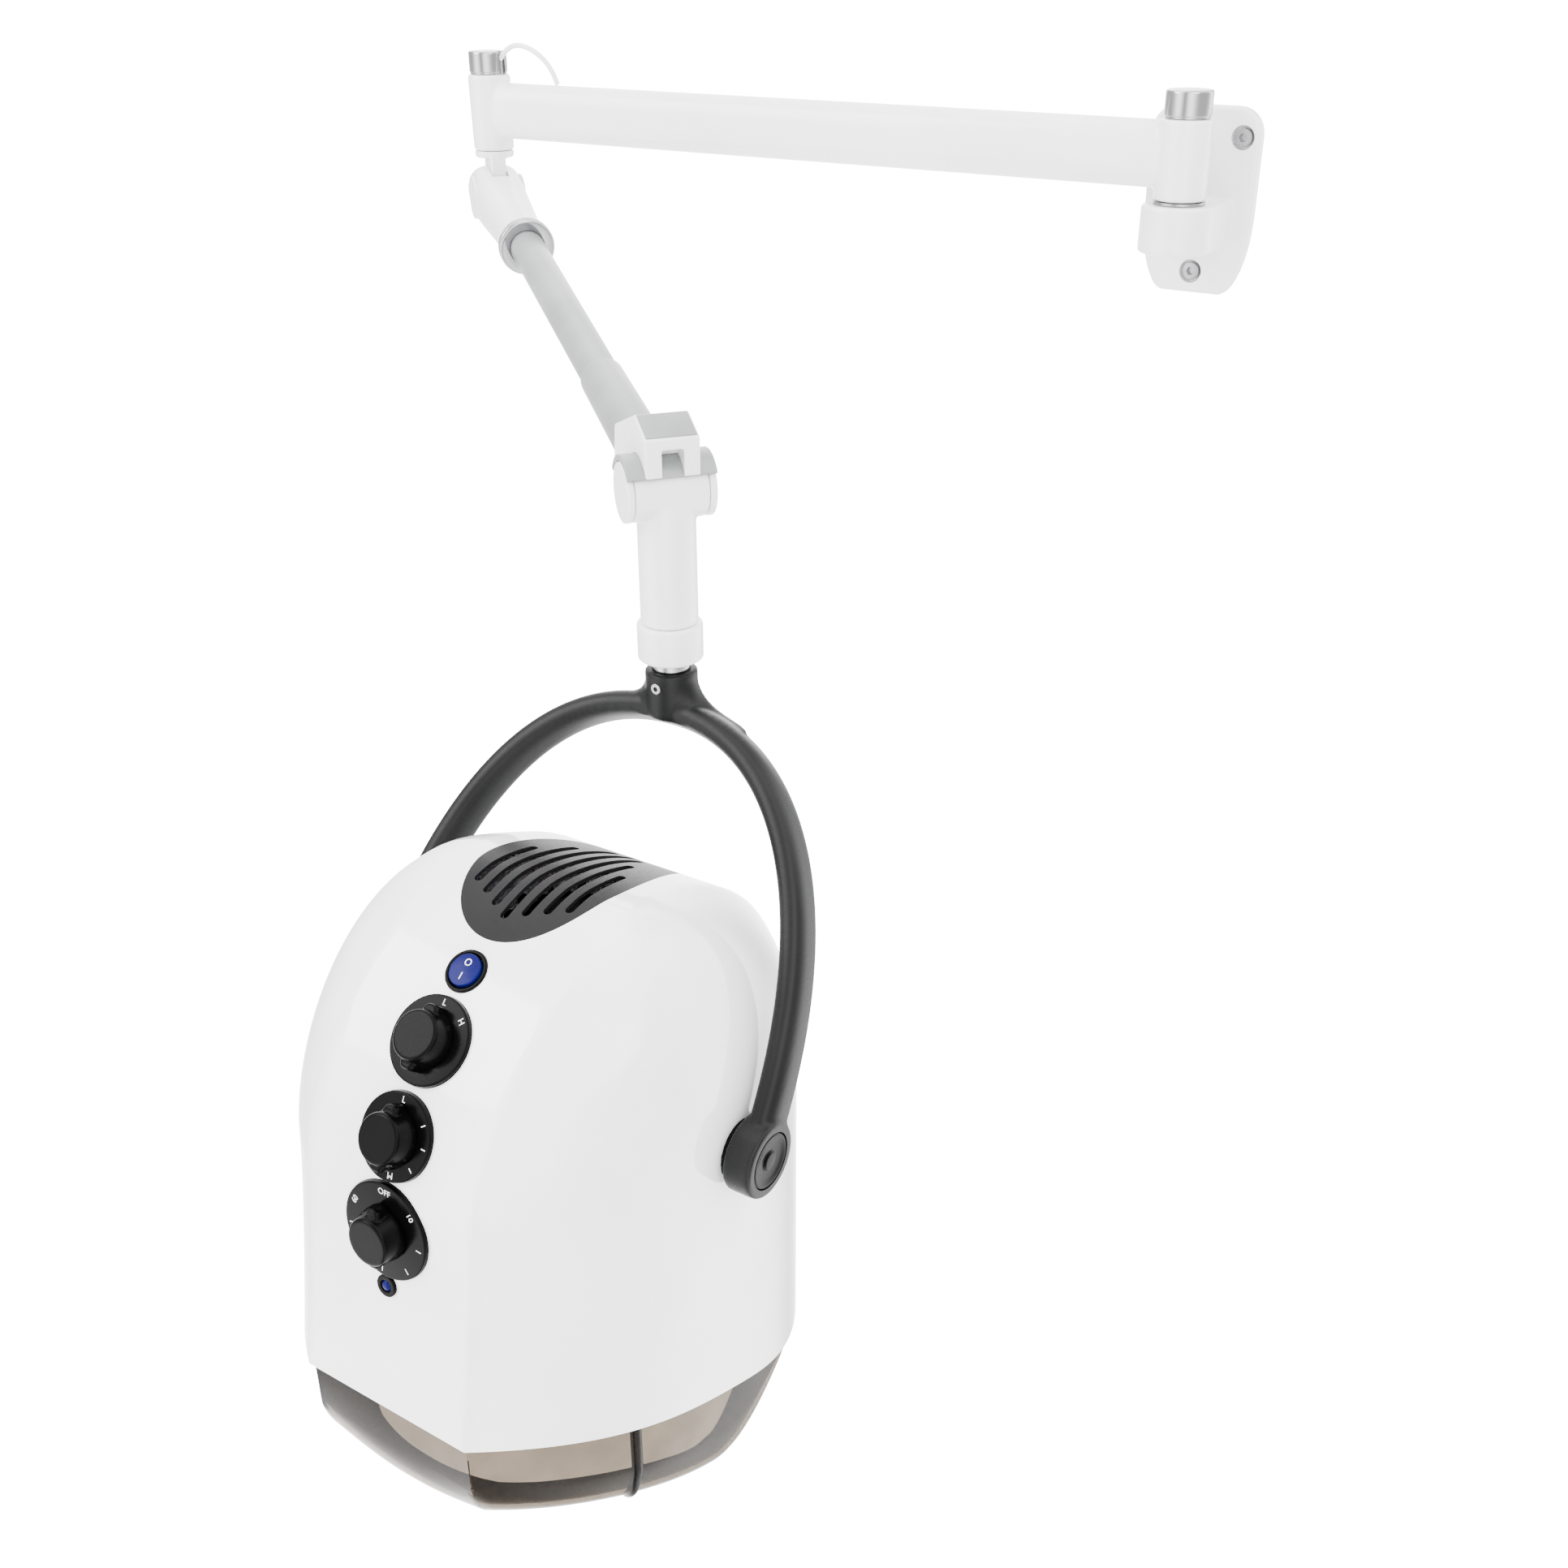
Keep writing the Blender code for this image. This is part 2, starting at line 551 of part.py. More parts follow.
piece("spring_tube", cylinder_mesh(TUBE_RADIUS, ring_low, tube_end), SATIN, spring, lay)
sleeve_low, sleeve_high = tube_end + GAP, tube_end + GAP + LOWER_SLEEVE_LENGTH
piece("lower_sleeve", cylinder_mesh(
    LOWER_SLEEVE_RADIUS - SLEEVE_TAPER, sleeve_low, sleeve_high, top_radius=LOWER_SLEEVE_RADIUS),
    SATIN, spring, lay)

# Lower elbow: the block and its cover reach over the stem's barrel
hinge_end = shift(x=spring_length) @ stem_turn  # upright frame on the lower hinge
cheek_inner = BARREL_HALF_LENGTH + GAP
cover_half = cheek_inner + CHEEK_THICK
cover_inner = BARREL_RADIUS + 2 * GAP
cover_outer = cover_inner + COVER_WALL


def half_ring(inner, outer, start, stop, count=20):
    """A sector of a ring in the plane square to the hinge axis."""
    angles = np.linspace(start, stop, count)
    arc = [(outer * math.cos(a), outer * math.sin(a)) for a in angles]
    return arc + [(inner * math.cos(a), inner * math.sin(a)) for a in reversed(angles)]


cover_start, cover_stop = math.radians(COVER_FROM), math.radians(COVER_TO)
piece("elbow_cover", plate_mesh(
    half_ring(cover_inner, cover_outer, cover_start, cover_stop), -cover_half, cover_half),
    SATIN, spring, hinge_end @ across)
block_back = spring_length - BLOCK_LENGTH + 2 * GAP
block_profile = [
    (block_back, -LOWER_SLEEVE_RADIUS), (spring_length - BLOCK_FOOT_CUT, -LOWER_SLEEVE_RADIUS),
    (spring_length - BLOCK_FOOT_CUT, BLOCK_EDGE), (spring_length + BARREL_RADIUS, BLOCK_EDGE),
    (spring_length + BARREL_RADIUS, BLOCK_TOP * 0.55),
    (spring_length - BARREL_RADIUS * 0.2, BLOCK_TOP), (block_back, LOWER_SLEEVE_RADIUS),
]
block = piece("elbow_block", plate_mesh(
    block_profile, -BLOCK_HALF_WIDTH, BLOCK_HALF_WIDTH), SATIN, spring, across)
block_round = block.modifiers.new("rounded_edges", "BEVEL")
block_round.width = BLOCK_EDGE
block_round.segments = 2
boolean(block, cutter(cylinder_mesh(
    cover_outer + GAP, -cover_half * 2, cover_half * 2, FINE_SIDES), spring, hinge_end @ across))
slot_front = spring_length + BARREL_RADIUS + GAP
boolean(block, cutter(box_mesh(
    (spring_length, -BLOCK_SLOT_WIDTH / 2, -BLOCK_TOP),
    (slot_front, BLOCK_SLOT_WIDTH / 2, BLOCK_TOP * 0.5)), spring))
for name, side in (("elbow_cheek_left", 1), ("elbow_cheek_right", -1)):
    low, high = sorted((side * cheek_inner, side * (cheek_inner + CHEEK_THICK)))
    piece(name, cylinder_mesh(BARREL_RADIUS, low, high), WHITE, spring, hinge_end @ across)
piece("lower_hinge_pin", cylinder_mesh(
    HINGE_PIN_RADIUS, -BARREL_HALF_LENGTH, BARREL_HALF_LENGTH), STEEL, spring, hinge_end @ across)


# Stem
stem_tube = piece("stem_tube", cylinder_mesh(STEM_RADIUS, -STEM_LENGTH, 0, FINE_SIDES), WHITE, stem)
boolean(stem_tube, cutter(cylinder_mesh(
    BARREL_RADIUS, -BARREL_HALF_LENGTH, BARREL_HALF_LENGTH, FINE_SIDES), stem, across), "UNION")
boolean(stem_tube, cutter(cylinder_mesh(
    HINGE_PIN_RADIUS + GAP, -cover_half, cover_half), stem, across))
collar_top = -STEM_LENGTH - GAP
collar_low = collar_top - COLLAR_LENGTH
collar_edge = 2 * MM
piece("stem_collar", turned_mesh([
    (0, collar_top), (COLLAR_RADIUS - collar_edge, collar_top), (COLLAR_RADIUS, collar_top - collar_edge),
    (COLLAR_RADIUS, collar_low + collar_edge), (COLLAR_RADIUS - collar_edge, collar_low),
    (STUB_PIN_RADIUS + GAP, collar_low), (STUB_PIN_RADIUS + GAP, collar_low + STUB_PIN_LENGTH + GAP),
    (0, collar_low + STUB_PIN_LENGTH + GAP),
]), WHITE, stem)


# Yoke
stub_top = collar_low - GAP
socket_top = stub_top - STUB_SHOWN
socket_low = socket_top - YOKE_SOCKET_LENGTH
stub_foot = socket_top - STUB_PIN_LENGTH
piece("swivel_stub", turned_mesh([
    (0, stub_top + STUB_PIN_LENGTH), (STUB_PIN_RADIUS, stub_top + STUB_PIN_LENGTH),
    (STUB_PIN_RADIUS, stub_top), (STUB_RADIUS, stub_top), (STUB_RADIUS, socket_top + GAP),
    (STUB_PIN_RADIUS, socket_top + GAP), (STUB_PIN_RADIUS, stub_foot), (0, stub_foot),
]), CHROME, yoke)


def arch_sections(count=12, steps=27):
    """Oval sections along a superellipse arch from hub to hub, in the yoke's leaning plane."""
    leg = (YOKE_OUTER_HALF + YOKE_INNER_HALF) / 2
    half_thick = (YOKE_OUTER_HALF - YOKE_INNER_HALF) / 2 - 1 * MM
    top = Vector((0, 0, socket_low + half_thick))
    hub = Vector((0, -YOKE_LEAN, -YOKE_DROP))
    rise = top - hub
    normal = rise.normalized().cross(Vector((1, 0, 0)))
    angles = np.linspace(0, math.pi, steps)
    flat_x = np.sign(np.cos(angles)) * np.abs(np.cos(angles)) ** (2 / YOKE_SQUARENESS) * leg
    flat_h = np.abs(np.sin(angles)) ** (2 / YOKE_SQUARENESS)
    path = [Vector((x, 0, 0)) + hub + rise * h for x, h in zip(flat_x, flat_h)]
    wide, thick = oval(YOKE_HALF_BREADTH, half_thick, 2.6, count)
    sections = []
    for i, centre in enumerate(path):
        ahead = path[min(i + 1, steps - 1)] - path[max(i - 1, 0)]
        outward = ahead.normalized().cross(normal)
        sections.append([centre + normal * w + outward * t for w, t in zip(wide, thick)])
    return sections


yoke_frame = piece("yoke", loft_mesh(arch_sections()), DARK, yoke)
boolean(yoke_frame, cutter(cylinder_mesh(
    YOKE_SOCKET_RADIUS, socket_low, socket_top), yoke), "UNION")
boolean(yoke_frame, cutter(cylinder_mesh(STUB_PIN_RADIUS + GAP, stub_foot - GAP, socket_top + GAP), yoke))
sideways = Matrix.Rotation(math.pi / 2, 4, "Y")  # lays +Z along +X
hub_place = shift(y=-YOKE_LEAN, z=-YOKE_DROP) @ sideways
for side in (1, -1):
    for radius, near, far, operation in (
        (HUB_RADIUS, YOKE_INNER_HALF, YOKE_OUTER_HALF, "UNION"),
        (PIVOT_RADIUS + GAP, YOKE_INNER_HALF - GAP, YOKE_OUTER_HALF + GAP, "DIFFERENCE"),
        (HUB_CAP_RADIUS + GAP, YOKE_OUTER_HALF - HUB_RECESS, YOKE_OUTER_HALF + GAP, "DIFFERENCE"),
    ):
        low, high = sorted((side * near, side * far))
        boolean(yoke_frame, cutter(cylinder_mesh(radius, low, high), yoke, hub_place), operation)
set_screw_turn = along((0, -1, 0))
set_screw_place = shift(z=(stub_foot + socket_top) / 2) @ set_screw_turn
boolean(yoke_frame, cutter(cylinder_mesh(
    SET_SCREW_RADIUS + GAP, STUB_PIN_RADIUS, YOKE_SOCKET_RADIUS + GAP), yoke, set_screw_place))
set_screw_low = STUB_PIN_RADIUS + 2 * GAP
set_screw_high = set_screw_low + SET_SCREW_DEPTH
piece("yoke_set_screw", turned_mesh([
    (0, set_screw_high - 3 * MM), (SET_SCREW_RADIUS / 2, set_screw_high - 3 * MM),
    (SET_SCREW_RADIUS / 2, set_screw_high), (SET_SCREW_RADIUS, set_screw_high),
    (SET_SCREW_RADIUS, set_screw_low), (0, set_screw_low),
], 16), STEEL, yoke, set_screw_place)
cap_low = YOKE_OUTER_HALF - HUB_RECESS + GAP
button, dish = 6 * MM, 1.2 * MM
for name, turn in (("hub_cap_right", sideways), ("hub_cap_left", Matrix.Rotation(-math.pi / 2, 4, "Y"))):
    piece(name, turned_mesh([
        (0, YOKE_OUTER_HALF), (button, YOKE_OUTER_HALF), (button * 1.3, YOKE_OUTER_HALF - dish),
        (HUB_CAP_RADIUS * 0.75, YOKE_OUTER_HALF - dish * 0.6), (HUB_CAP_RADIUS - 1 * MM, YOKE_OUTER_HALF),
        (HUB_CAP_RADIUS, YOKE_OUTER_HALF - 1 * MM), (HUB_CAP_RADIUS, cap_low), (0, cap_low),
    ]), DARK, yoke, shift(y=-YOKE_LEAN, z=-YOKE_DROP) @ turn)


# Hood forms: extents of the outer surface at a height above the hub axis
def front_reach(z, top=HOOD_TOP, front=HOOD_FRONT):
    if z > 0:
        return front * (1 - (z / top) ** 1.5) ** 0.6
    return front + SHELL_FRONT_FLARE * (-z / SHELL_EDGE_DROP) ** 1.2


def rear_reach(z, top=HOOD_TOP):
    return HOOD_REAR * (1 - (z / top) ** 2) ** 0.6 if z > 0 else HOOD_REAR


def half_width(z, top=HOOD_TOP):
    if z > 0:
        return BAND_HALF_WIDTH + (HOOD_HALF_WIDTH - BAND_HALF_WIDTH) * (1 - (z / top) ** 2.2) ** 0.5
    return HOOD_HALF_WIDTH


FRONT_POWER = 0.3  # how bluntly the plan outline turns from the band to the side
REAR_POWER = 0.38
SIDE_STEPS = 7
RING_POINTS = 4 * SIDE_STEPS + 4  # points in one plan outline of the hood


def quadrant(width, reach, power, flat):
    """Plan points from the middle of the band to the side, with a crease at the band's edge."""
    share = 1 - (1 - np.linspace(0, 1, SIDE_STEPS)) ** 3
    x = np.concatenate(([0, flat / 2], flat + (width - flat) * share))
    y = reach * np.concatenate(([1, 1], (1 - share) ** power))
    return x, y


def hood_outline(z, inset=0.0, top=HOOD_TOP):
    """The hood's plan outline at a height, drawn in by an inset, as a closed ring of (x, y)."""
    width = half_width(z, top) - inset
    flat = BAND_HALF_WIDTH - inset / 2
    fx, fy = quadrant(width, front_reach(z, top) - inset, FRONT_POWER, flat)
    rx, ry = quadrant(width, rear_reach(z, top) - inset, REAR_POWER, flat)
    x = np.concatenate((fx, rx[-2::-1], -rx[1:], -fx[-2:0:-1]))
    y = np.concatenate((-fy, ry[-2::-1], ry[1:], -fy[-2:0:-1]))
    return x, y


def ring_at(z, inset=0.0, top=HOOD_TOP, heights=None):
    x, y = hood_outline(z, inset, top)
    return [Vector(point) for point in zip(x, y, np.full(len(x), z) if heights is None else heights)]


def ease(share):
    """A smooth step from 0 to 1."""
    share = np.clip(share, 0, 1)
    return share ** 2 * (3 - 2 * share)


def edge_heights(offset):
    """The shell's lower edge, which falls in a soft S from the front to the rear."""
    x, y = hood_outline(-SHELL_EDGE_DROP)
    return -SHELL_EDGE_DROP + offset - SHELL_REAR_FALL * ease(1.12 * (y - y.min()) / (y.max() - y.min()))


def foot_heights():
    """The visor's lower rim, deep in front and drawn up to a narrow rim behind."""
    x, y = hood_outline(-SHELL_EDGE_DROP)
    rear = ease((y + VISOR_BEND) / (HOOD_REAR * 0.6))
    return edge_heights(0) - VISOR_DEPTH + (VISOR_DEPTH - VISOR_REAR_DEPTH) * rear


SHELL_LEVELS = (-0.55, -0.2, 0, 0.2, 0.38, 0.54, 0.68, 0.79, 0.88, 0.945, 0.985)


def shell_rings(inset):
    """Rings from the lower edge to the crown, for one side of the shell's wall."""
    top = HOOD_TOP - inset
    rings = [ring_at(-SHELL_EDGE_DROP, inset, heights=edge_heights(0))]
    for level in SHELL_LEVELS:
        z = level * (HOOD_TOP if level > 0 else SHELL_EDGE_DROP)
        x, y = hood_outline(z, inset if level < 0.9 else inset * 0.4)
        rings.append([Vector(p) for p in zip(x, y, np.full(len(x), z * top / HOOD_TOP if z > 0 else z))])
    return rings


def cup_mesh(outer, inner):
    """A wall between two stacks of rings, open below and capped above."""
    bm = bmesh.new()
    stacks = [[[bm.verts.new(p) for p in ring] for ring in rings] for rings in (outer, inner)]
    def skin(rows):
        for lower, upper in zip(rows, rows[1:]):
            for a, b, c, d in zip(lower, lower[1:] + lower[:1], upper[1:] + upper[:1], upper):
                bm.faces.new((a, b, c, d))
        bm.faces.new(rows[-1])
    for rows in stacks:
        skin(rows)
    lower, upper = stacks[1][0], stacks[0][0]
    for a, b, c, d in zip(lower, lower[1:] + lower[:1], upper[1:] + upper[:1], upper):
        bm.faces.new((a, b, c, d))
    return mesh_from(bm)


def panel_frame(z):
    """A place on the panel's middle line at a height: +Z stands out of the panel, +Y runs up it."""
    step = 0.5 * MM
    here = Vector((0, -front_reach(z), z))
    up = Vector((0, -front_reach(z + step), z + step)) - Vector((0, -front_reach(z - step), z - step))
    up.normalize()
    out = Vector((1, 0, 0)).cross(up)
    return Matrix((
        (1, up.x, out.x, here.x), (0, up.y, out.y, here.y), (0, up.z, out.z, here.z), (0, 0, 0, 1)))


def vent_outline(margin, count=28):
    """An egg in plan, blunt in front and drawn to a tip at the rear."""
    angles = np.linspace(0, math.tau, count, endpoint=False)
    half = (VENT_FRONT + VENT_REAR) / 2 - margin
    middle = (VENT_REAR - VENT_FRONT) / 2
    lean = np.cos(angles)
    x = (VENT_HALF_WIDTH - margin) * np.sin(angles) * (1 + 0.32 * lean)
    return [(px, middle - half * c) for px, c in zip(x, lean)]


shell_mesh = cup_mesh(shell_rings(0), shell_rings(SHELL_WALL))
shell = piece("hood_shell", shell_mesh, GLOSS, hood)
vent_low, vent_high = 0.2 * HOOD_TOP, 1.3 * HOOD_TOP
boolean(shell, cutter(plate_mesh(vent_outline(0), vent_low, vent_high), hood))
grille_source = cup_mesh(shell_rings(0), shell_rings(SHELL_WALL))
grille = piece("vent_grille", grille_source, DARK, hood)
boolean(grille, cutter(plate_mesh(vent_outline(GAP), vent_low, vent_high), hood), "INTERSECT")
for index in range(VENT_SLOTS):
    side = index - (VENT_SLOTS - 1) / 2
    pitch = 2 * (VENT_HALF_WIDTH - 8 * MM) / VENT_SLOTS
    reach = 1 - 0.16 * abs(side)
    front = -VENT_FRONT * 0.72 * reach
    back = (VENT_REAR - 34 * MM) * reach - 8 * MM * abs(side)
    slot = box_mesh((-VENT_SLOT_WIDTH / 2, front, vent_low), (VENT_SLOT_WIDTH / 2, back, vent_high))
    boolean(grille, cutter(slot, hood, shift(x=side * pitch) @ Matrix.Rotation(0.035 * side, 4, "Z")))

# Pivots
for name, side in (("right", 1), ("left", -1)):
    low, high = sorted((side * (HOOD_HALF_WIDTH - 9 * MM), side * (YOKE_OUTER_HALF - HUB_RECESS - GAP)))
    turn = sideways
    boolean(shell, cutter(cylinder_mesh(
        PIVOT_RADIUS + GAP, *sorted((side * HOOD_HALF_WIDTH / 2, side * (HOOD_HALF_WIDTH + GAP)))), hood, turn))
    piece(f"pivot_bolt_{name}", cylinder_mesh(PIVOT_RADIUS, low, high), STEEL, hood, turn)
    low, high = sorted((side * (HOOD_HALF_WIDTH + GAP), side * (YOKE_INNER_HALF - GAP)))
    piece(f"friction_washer_{name}", ring_mesh(
        HUB_RADIUS * 0.8, PIVOT_RADIUS + GAP, low, high), BLACK, hood, turn)

# Inner bowl, hung by its flange from the shell's wall
bowl_levels = (-0.4, 0, 0.25, 0.48, 0.66, 0.8, 0.9, 0.97)


def bowl_rings(inset, flange_z, top):
    seat = -BOWL_FLANGE_DROP + SHELL_WALL
    level_ring = np.full(RING_POINTS, flange_z)
    rings = [ring_at(seat, SHELL_WALL + 2 * GAP, heights=level_ring), ring_at(seat, inset, heights=level_ring)]
    for level in bowl_levels:
        z = level * (BOWL_TOP if level > 0 else BOWL_FLANGE_DROP)
        x, y = hood_outline(level * (HOOD_TOP if level > 0 else BOWL_FLANGE_DROP),
                            inset if level < 0.9 else inset * 0.3)
        rings.append([Vector(p) for p in zip(x, y, np.full(len(x), z * top / BOWL_TOP if z > 0 else z))])
    return rings


bowl_outer = bowl_rings(BOWL_INSET, -BOWL_FLANGE_DROP + SHELL_WALL, BOWL_TOP)
bowl_inner = bowl_rings(BOWL_INSET + SHELL_WALL, -BOWL_FLANGE_DROP, BOWL_TOP - SHELL_WALL)
piece("inner_bowl", cup_mesh(bowl_outer, bowl_inner), GLOSS, hood)


# Visor: a smoked skirt in a front and a rear half, tucked inside the shell's edge
def visor_sections():
    """Rings round the skirt's section: outer wall down, lip in, inner wall up."""
    tuck = SHELL_WALL + 2 * GAP
    foot, edge = foot_heights(), -SHELL_EDGE_DROP
    reach = (edge_heights(0) - foot) / VISOR_DEPTH  # 1 where the skirt is deepest
    steps = [
        (edge + VISOR_TUCK, tuck, edge_heights(VISOR_TUCK)), (edge, tuck, edge_heights(0)),
        (edge, tuck + VISOR_BEND * 0.12, foot + VISOR_BEND * 1.6 * reach),
        (edge, tuck + VISOR_BEND * 0.45, foot + VISOR_BEND * 0.5 * reach),
        (edge, tuck + VISOR_BEND, foot), (edge, tuck + VISOR_LIP, foot),
        (edge, tuck + VISOR_LIP, foot + VISOR_WALL), (edge, tuck + VISOR_BEND + VISOR_WALL, foot + VISOR_WALL),
        (edge, tuck + VISOR_BEND * 0.45 + VISOR_WALL, foot + VISOR_WALL + VISOR_BEND * 0.5 * reach),
        (edge, tuck + VISOR_BEND * 0.12 + VISOR_WALL, foot + VISOR_WALL + VISOR_BEND * 1.6 * reach),
        (edge, tuck + VISOR_WALL, edge_heights(0)),
        (edge + VISOR_TUCK, tuck + VISOR_WALL, edge_heights(VISOR_TUCK)),
    ]
    return [ring_at(z, inset, heights=heights) for z, inset, heights in steps]


def strip_mesh(rings, columns):
    """The part of a closed stack of rings that lies between two of its columns."""
    sections = [[ring[column % len(ring)].copy() for ring in rings] for column in columns]
    return loft_mesh(sections)


split = SIDE_STEPS // 2 + 3  # columns from the middle of the front to the split in the skirt
visor_rings = visor_sections()


def open_seam(mesh, y_shift):
    """Draw one half back from the seam by half the clearance."""
    mesh.transform(shift(y=y_shift))
    return mesh


front_columns = range(-split, split + 1)
rear_columns = range(split, RING_POINTS - split + 1)
piece("front_visor", open_seam(strip_mesh(visor_rings, front_columns), -GAP / 4), SMOKE, hood)
piece("rear_visor", open_seam(strip_mesh(visor_rings, rear_columns), GAP), SMOKE, hood)


# Controls on the front panel
def knob_mesh():
    """A round raised face on a base."""
    face = KNOB_RADIUS * 0.82
    return turned_mesh([
        (0, KNOB_HEIGHT), (face - 1.5 * MM, KNOB_HEIGHT), (face, KNOB_HEIGHT - 1.5 * MM),
        (KNOB_RADIUS, 2 * MM), (KNOB_RADIUS, 0), (SHAFT_RADIUS, 0),
        (SHAFT_RADIUS, -DIAL_PROUD - DIAL_BACK), (0, -DIAL_PROUD - DIAL_BACK),
    ])


for name, radius, height in (
    ("heat", HEAT_RADIUS, HEAT_HEIGHT), ("speed", SPEED_RADIUS, SPEED_HEIGHT),
    ("timer", TIMER_RADIUS, TIMER_HEIGHT),
):
    frame = panel_frame(height)
    boolean(shell, cutter(cylinder_mesh(radius + GAP, -8 * DIAL_BACK, 8 * DIAL_BACK, FINE_SIDES), hood, frame))
    piece(f"{name}_dial", ring_mesh(radius, SHAFT_RADIUS + GAP, -DIAL_BACK, DIAL_PROUD, FINE_SIDES), BLACK, hood, frame)
    knob_place = frame @ shift(z=DIAL_PROUD + GAP)
    knob = piece(f"{name}_knob", knob_mesh(), BLACK, hood, knob_place)
    wing = box_mesh((-KNOB_WING_WIDTH / 2, -KNOB_WING, 1 * MM), (KNOB_WING_WIDTH / 2, KNOB_WING, KNOB_HEIGHT * 0.7))
    boolean(knob, cutter(wing, hood, knob_place), "UNION")
    body_top = -DIAL_BACK - 2 * GAP
    piece(f"{name}_control", cylinder_mesh(
        CONTROL_BODY_RADIUS, body_top - CONTROL_BODY_DEPTH, body_top), BLACK, hood, frame)

switch_frame = panel_frame(SWITCH_HEIGHT)
bezel_radius = SWITCH_RADIUS + SWITCH_BEZEL
boolean(shell, cutter(cylinder_mesh(bezel_radius + GAP, -4 * DIAL_BACK, 4 * DIAL_BACK), hood, switch_frame))
piece("switch_bezel", turned_mesh([
    (bezel_radius, DIAL_PROUD / 2), (bezel_radius, -DIAL_BACK - 8 * MM), (0, -DIAL_BACK - 8 * MM),
    (0, -DIAL_BACK), (SWITCH_RADIUS, -DIAL_BACK), (SWITCH_RADIUS, DIAL_PROUD / 2),
]), BLACK, hood, switch_frame)
rocker_radius = SWITCH_RADIUS - 1 * MM
piece("rocker_switch", cylinder_mesh(rocker_radius, -DIAL_BACK / 2, DIAL_PROUD), BLUE, hood, switch_frame)
lamp_frame = panel_frame(TIMER_HEIGHT - LAMP_DROP)
boolean(shell, cutter(cylinder_mesh(LAMP_RADIUS + GAP, -4 * DIAL_BACK, 4 * DIAL_BACK), hood, lamp_frame))
piece("timer_lamp", turned_mesh([
    (0, DIAL_PROUD), (LAMP_RADIUS * 0.6, DIAL_PROUD * 0.8), (LAMP_RADIUS, 1 * MM), (LAMP_RADIUS, -DIAL_BACK),
    (0, -DIAL_BACK),
], 20), BLUE, hood, lamp_frame)


# Blower on the bowl's crown
crown = BOWL_TOP * bowl_levels[-1] + GAP
blower_place = shift(y=BLOWER_BACK)
motor_top = crown + MOTOR_HEIGHT
piece("fan_motor", turned_mesh([
    (0, motor_top), (MOTOR_RADIUS * 0.5, motor_top), (MOTOR_RADIUS, motor_top - 4 * MM), (MOTOR_RADIUS, crown),
    (0, crown),
]), STEEL, hood, blower_place)
piece("heater_ring", ring_mesh(
    HEATER_OUTER, HEATER_INNER, crown, crown + HEATER_HEIGHT, FINE_SIDES), STEEL, hood, blower_place)
fan_low = motor_top + GAP
fan_base = 3 * MM
hub_share = 0.3
fan = piece("blower_fan", cylinder_mesh(FAN_RADIUS, fan_low, fan_low + fan_base, FINE_SIDES), BLACK, hood, blower_place)
fan_hub = cylinder_mesh(FAN_RADIUS * hub_share, fan_low, fan_low + FAN_HEIGHT)
boolean(fan, cutter(fan_hub, hood, blower_place), "UNION")
for index in range(FAN_BLADES):
    blade = box_mesh(
        (FAN_RADIUS * hub_share * 0.8, -FAN_BLADE_THICK / 2, fan_low + fan_base / 2),
        (FAN_RADIUS - 1 * MM, FAN_BLADE_THICK / 2, fan_low + FAN_HEIGHT - 1 * MM))
    turn = Matrix.Rotation(math.tau * index / FAN_BLADES, 4, "Z")
    boolean(fan, cutter(blade, hood, blower_place @ turn), "UNION")
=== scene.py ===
"""Looks of a wall-mounted hood hair dryer: smooth shells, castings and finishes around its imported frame."""
import json
import math

import bmesh
import bpy
import numpy as np
from mathutils import Matrix, Vector


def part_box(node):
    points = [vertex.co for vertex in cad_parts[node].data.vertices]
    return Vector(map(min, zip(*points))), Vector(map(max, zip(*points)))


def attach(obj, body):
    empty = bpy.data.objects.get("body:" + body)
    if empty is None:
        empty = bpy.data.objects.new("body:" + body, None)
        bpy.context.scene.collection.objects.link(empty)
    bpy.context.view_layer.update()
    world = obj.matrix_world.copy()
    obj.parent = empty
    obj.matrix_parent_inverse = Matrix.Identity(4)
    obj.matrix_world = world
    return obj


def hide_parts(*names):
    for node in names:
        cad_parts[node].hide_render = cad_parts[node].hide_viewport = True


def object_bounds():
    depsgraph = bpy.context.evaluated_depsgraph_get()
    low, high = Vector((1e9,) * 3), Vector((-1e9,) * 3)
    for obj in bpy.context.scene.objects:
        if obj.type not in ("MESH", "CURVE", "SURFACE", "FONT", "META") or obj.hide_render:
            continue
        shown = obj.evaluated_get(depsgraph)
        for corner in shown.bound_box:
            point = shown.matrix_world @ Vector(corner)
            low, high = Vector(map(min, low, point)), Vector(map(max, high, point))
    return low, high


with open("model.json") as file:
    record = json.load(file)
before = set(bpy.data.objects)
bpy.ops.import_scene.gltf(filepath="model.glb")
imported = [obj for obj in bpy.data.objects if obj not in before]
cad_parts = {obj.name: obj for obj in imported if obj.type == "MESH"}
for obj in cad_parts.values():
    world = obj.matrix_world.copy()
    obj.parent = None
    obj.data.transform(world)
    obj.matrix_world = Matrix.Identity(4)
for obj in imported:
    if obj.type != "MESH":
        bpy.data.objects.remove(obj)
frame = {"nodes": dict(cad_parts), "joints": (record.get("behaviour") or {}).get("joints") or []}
CAD_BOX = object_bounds()
MM = 0.001
GAP = 0.3 * MM
OVERRUN = 60 * MM  # how far a cutting tool runs on

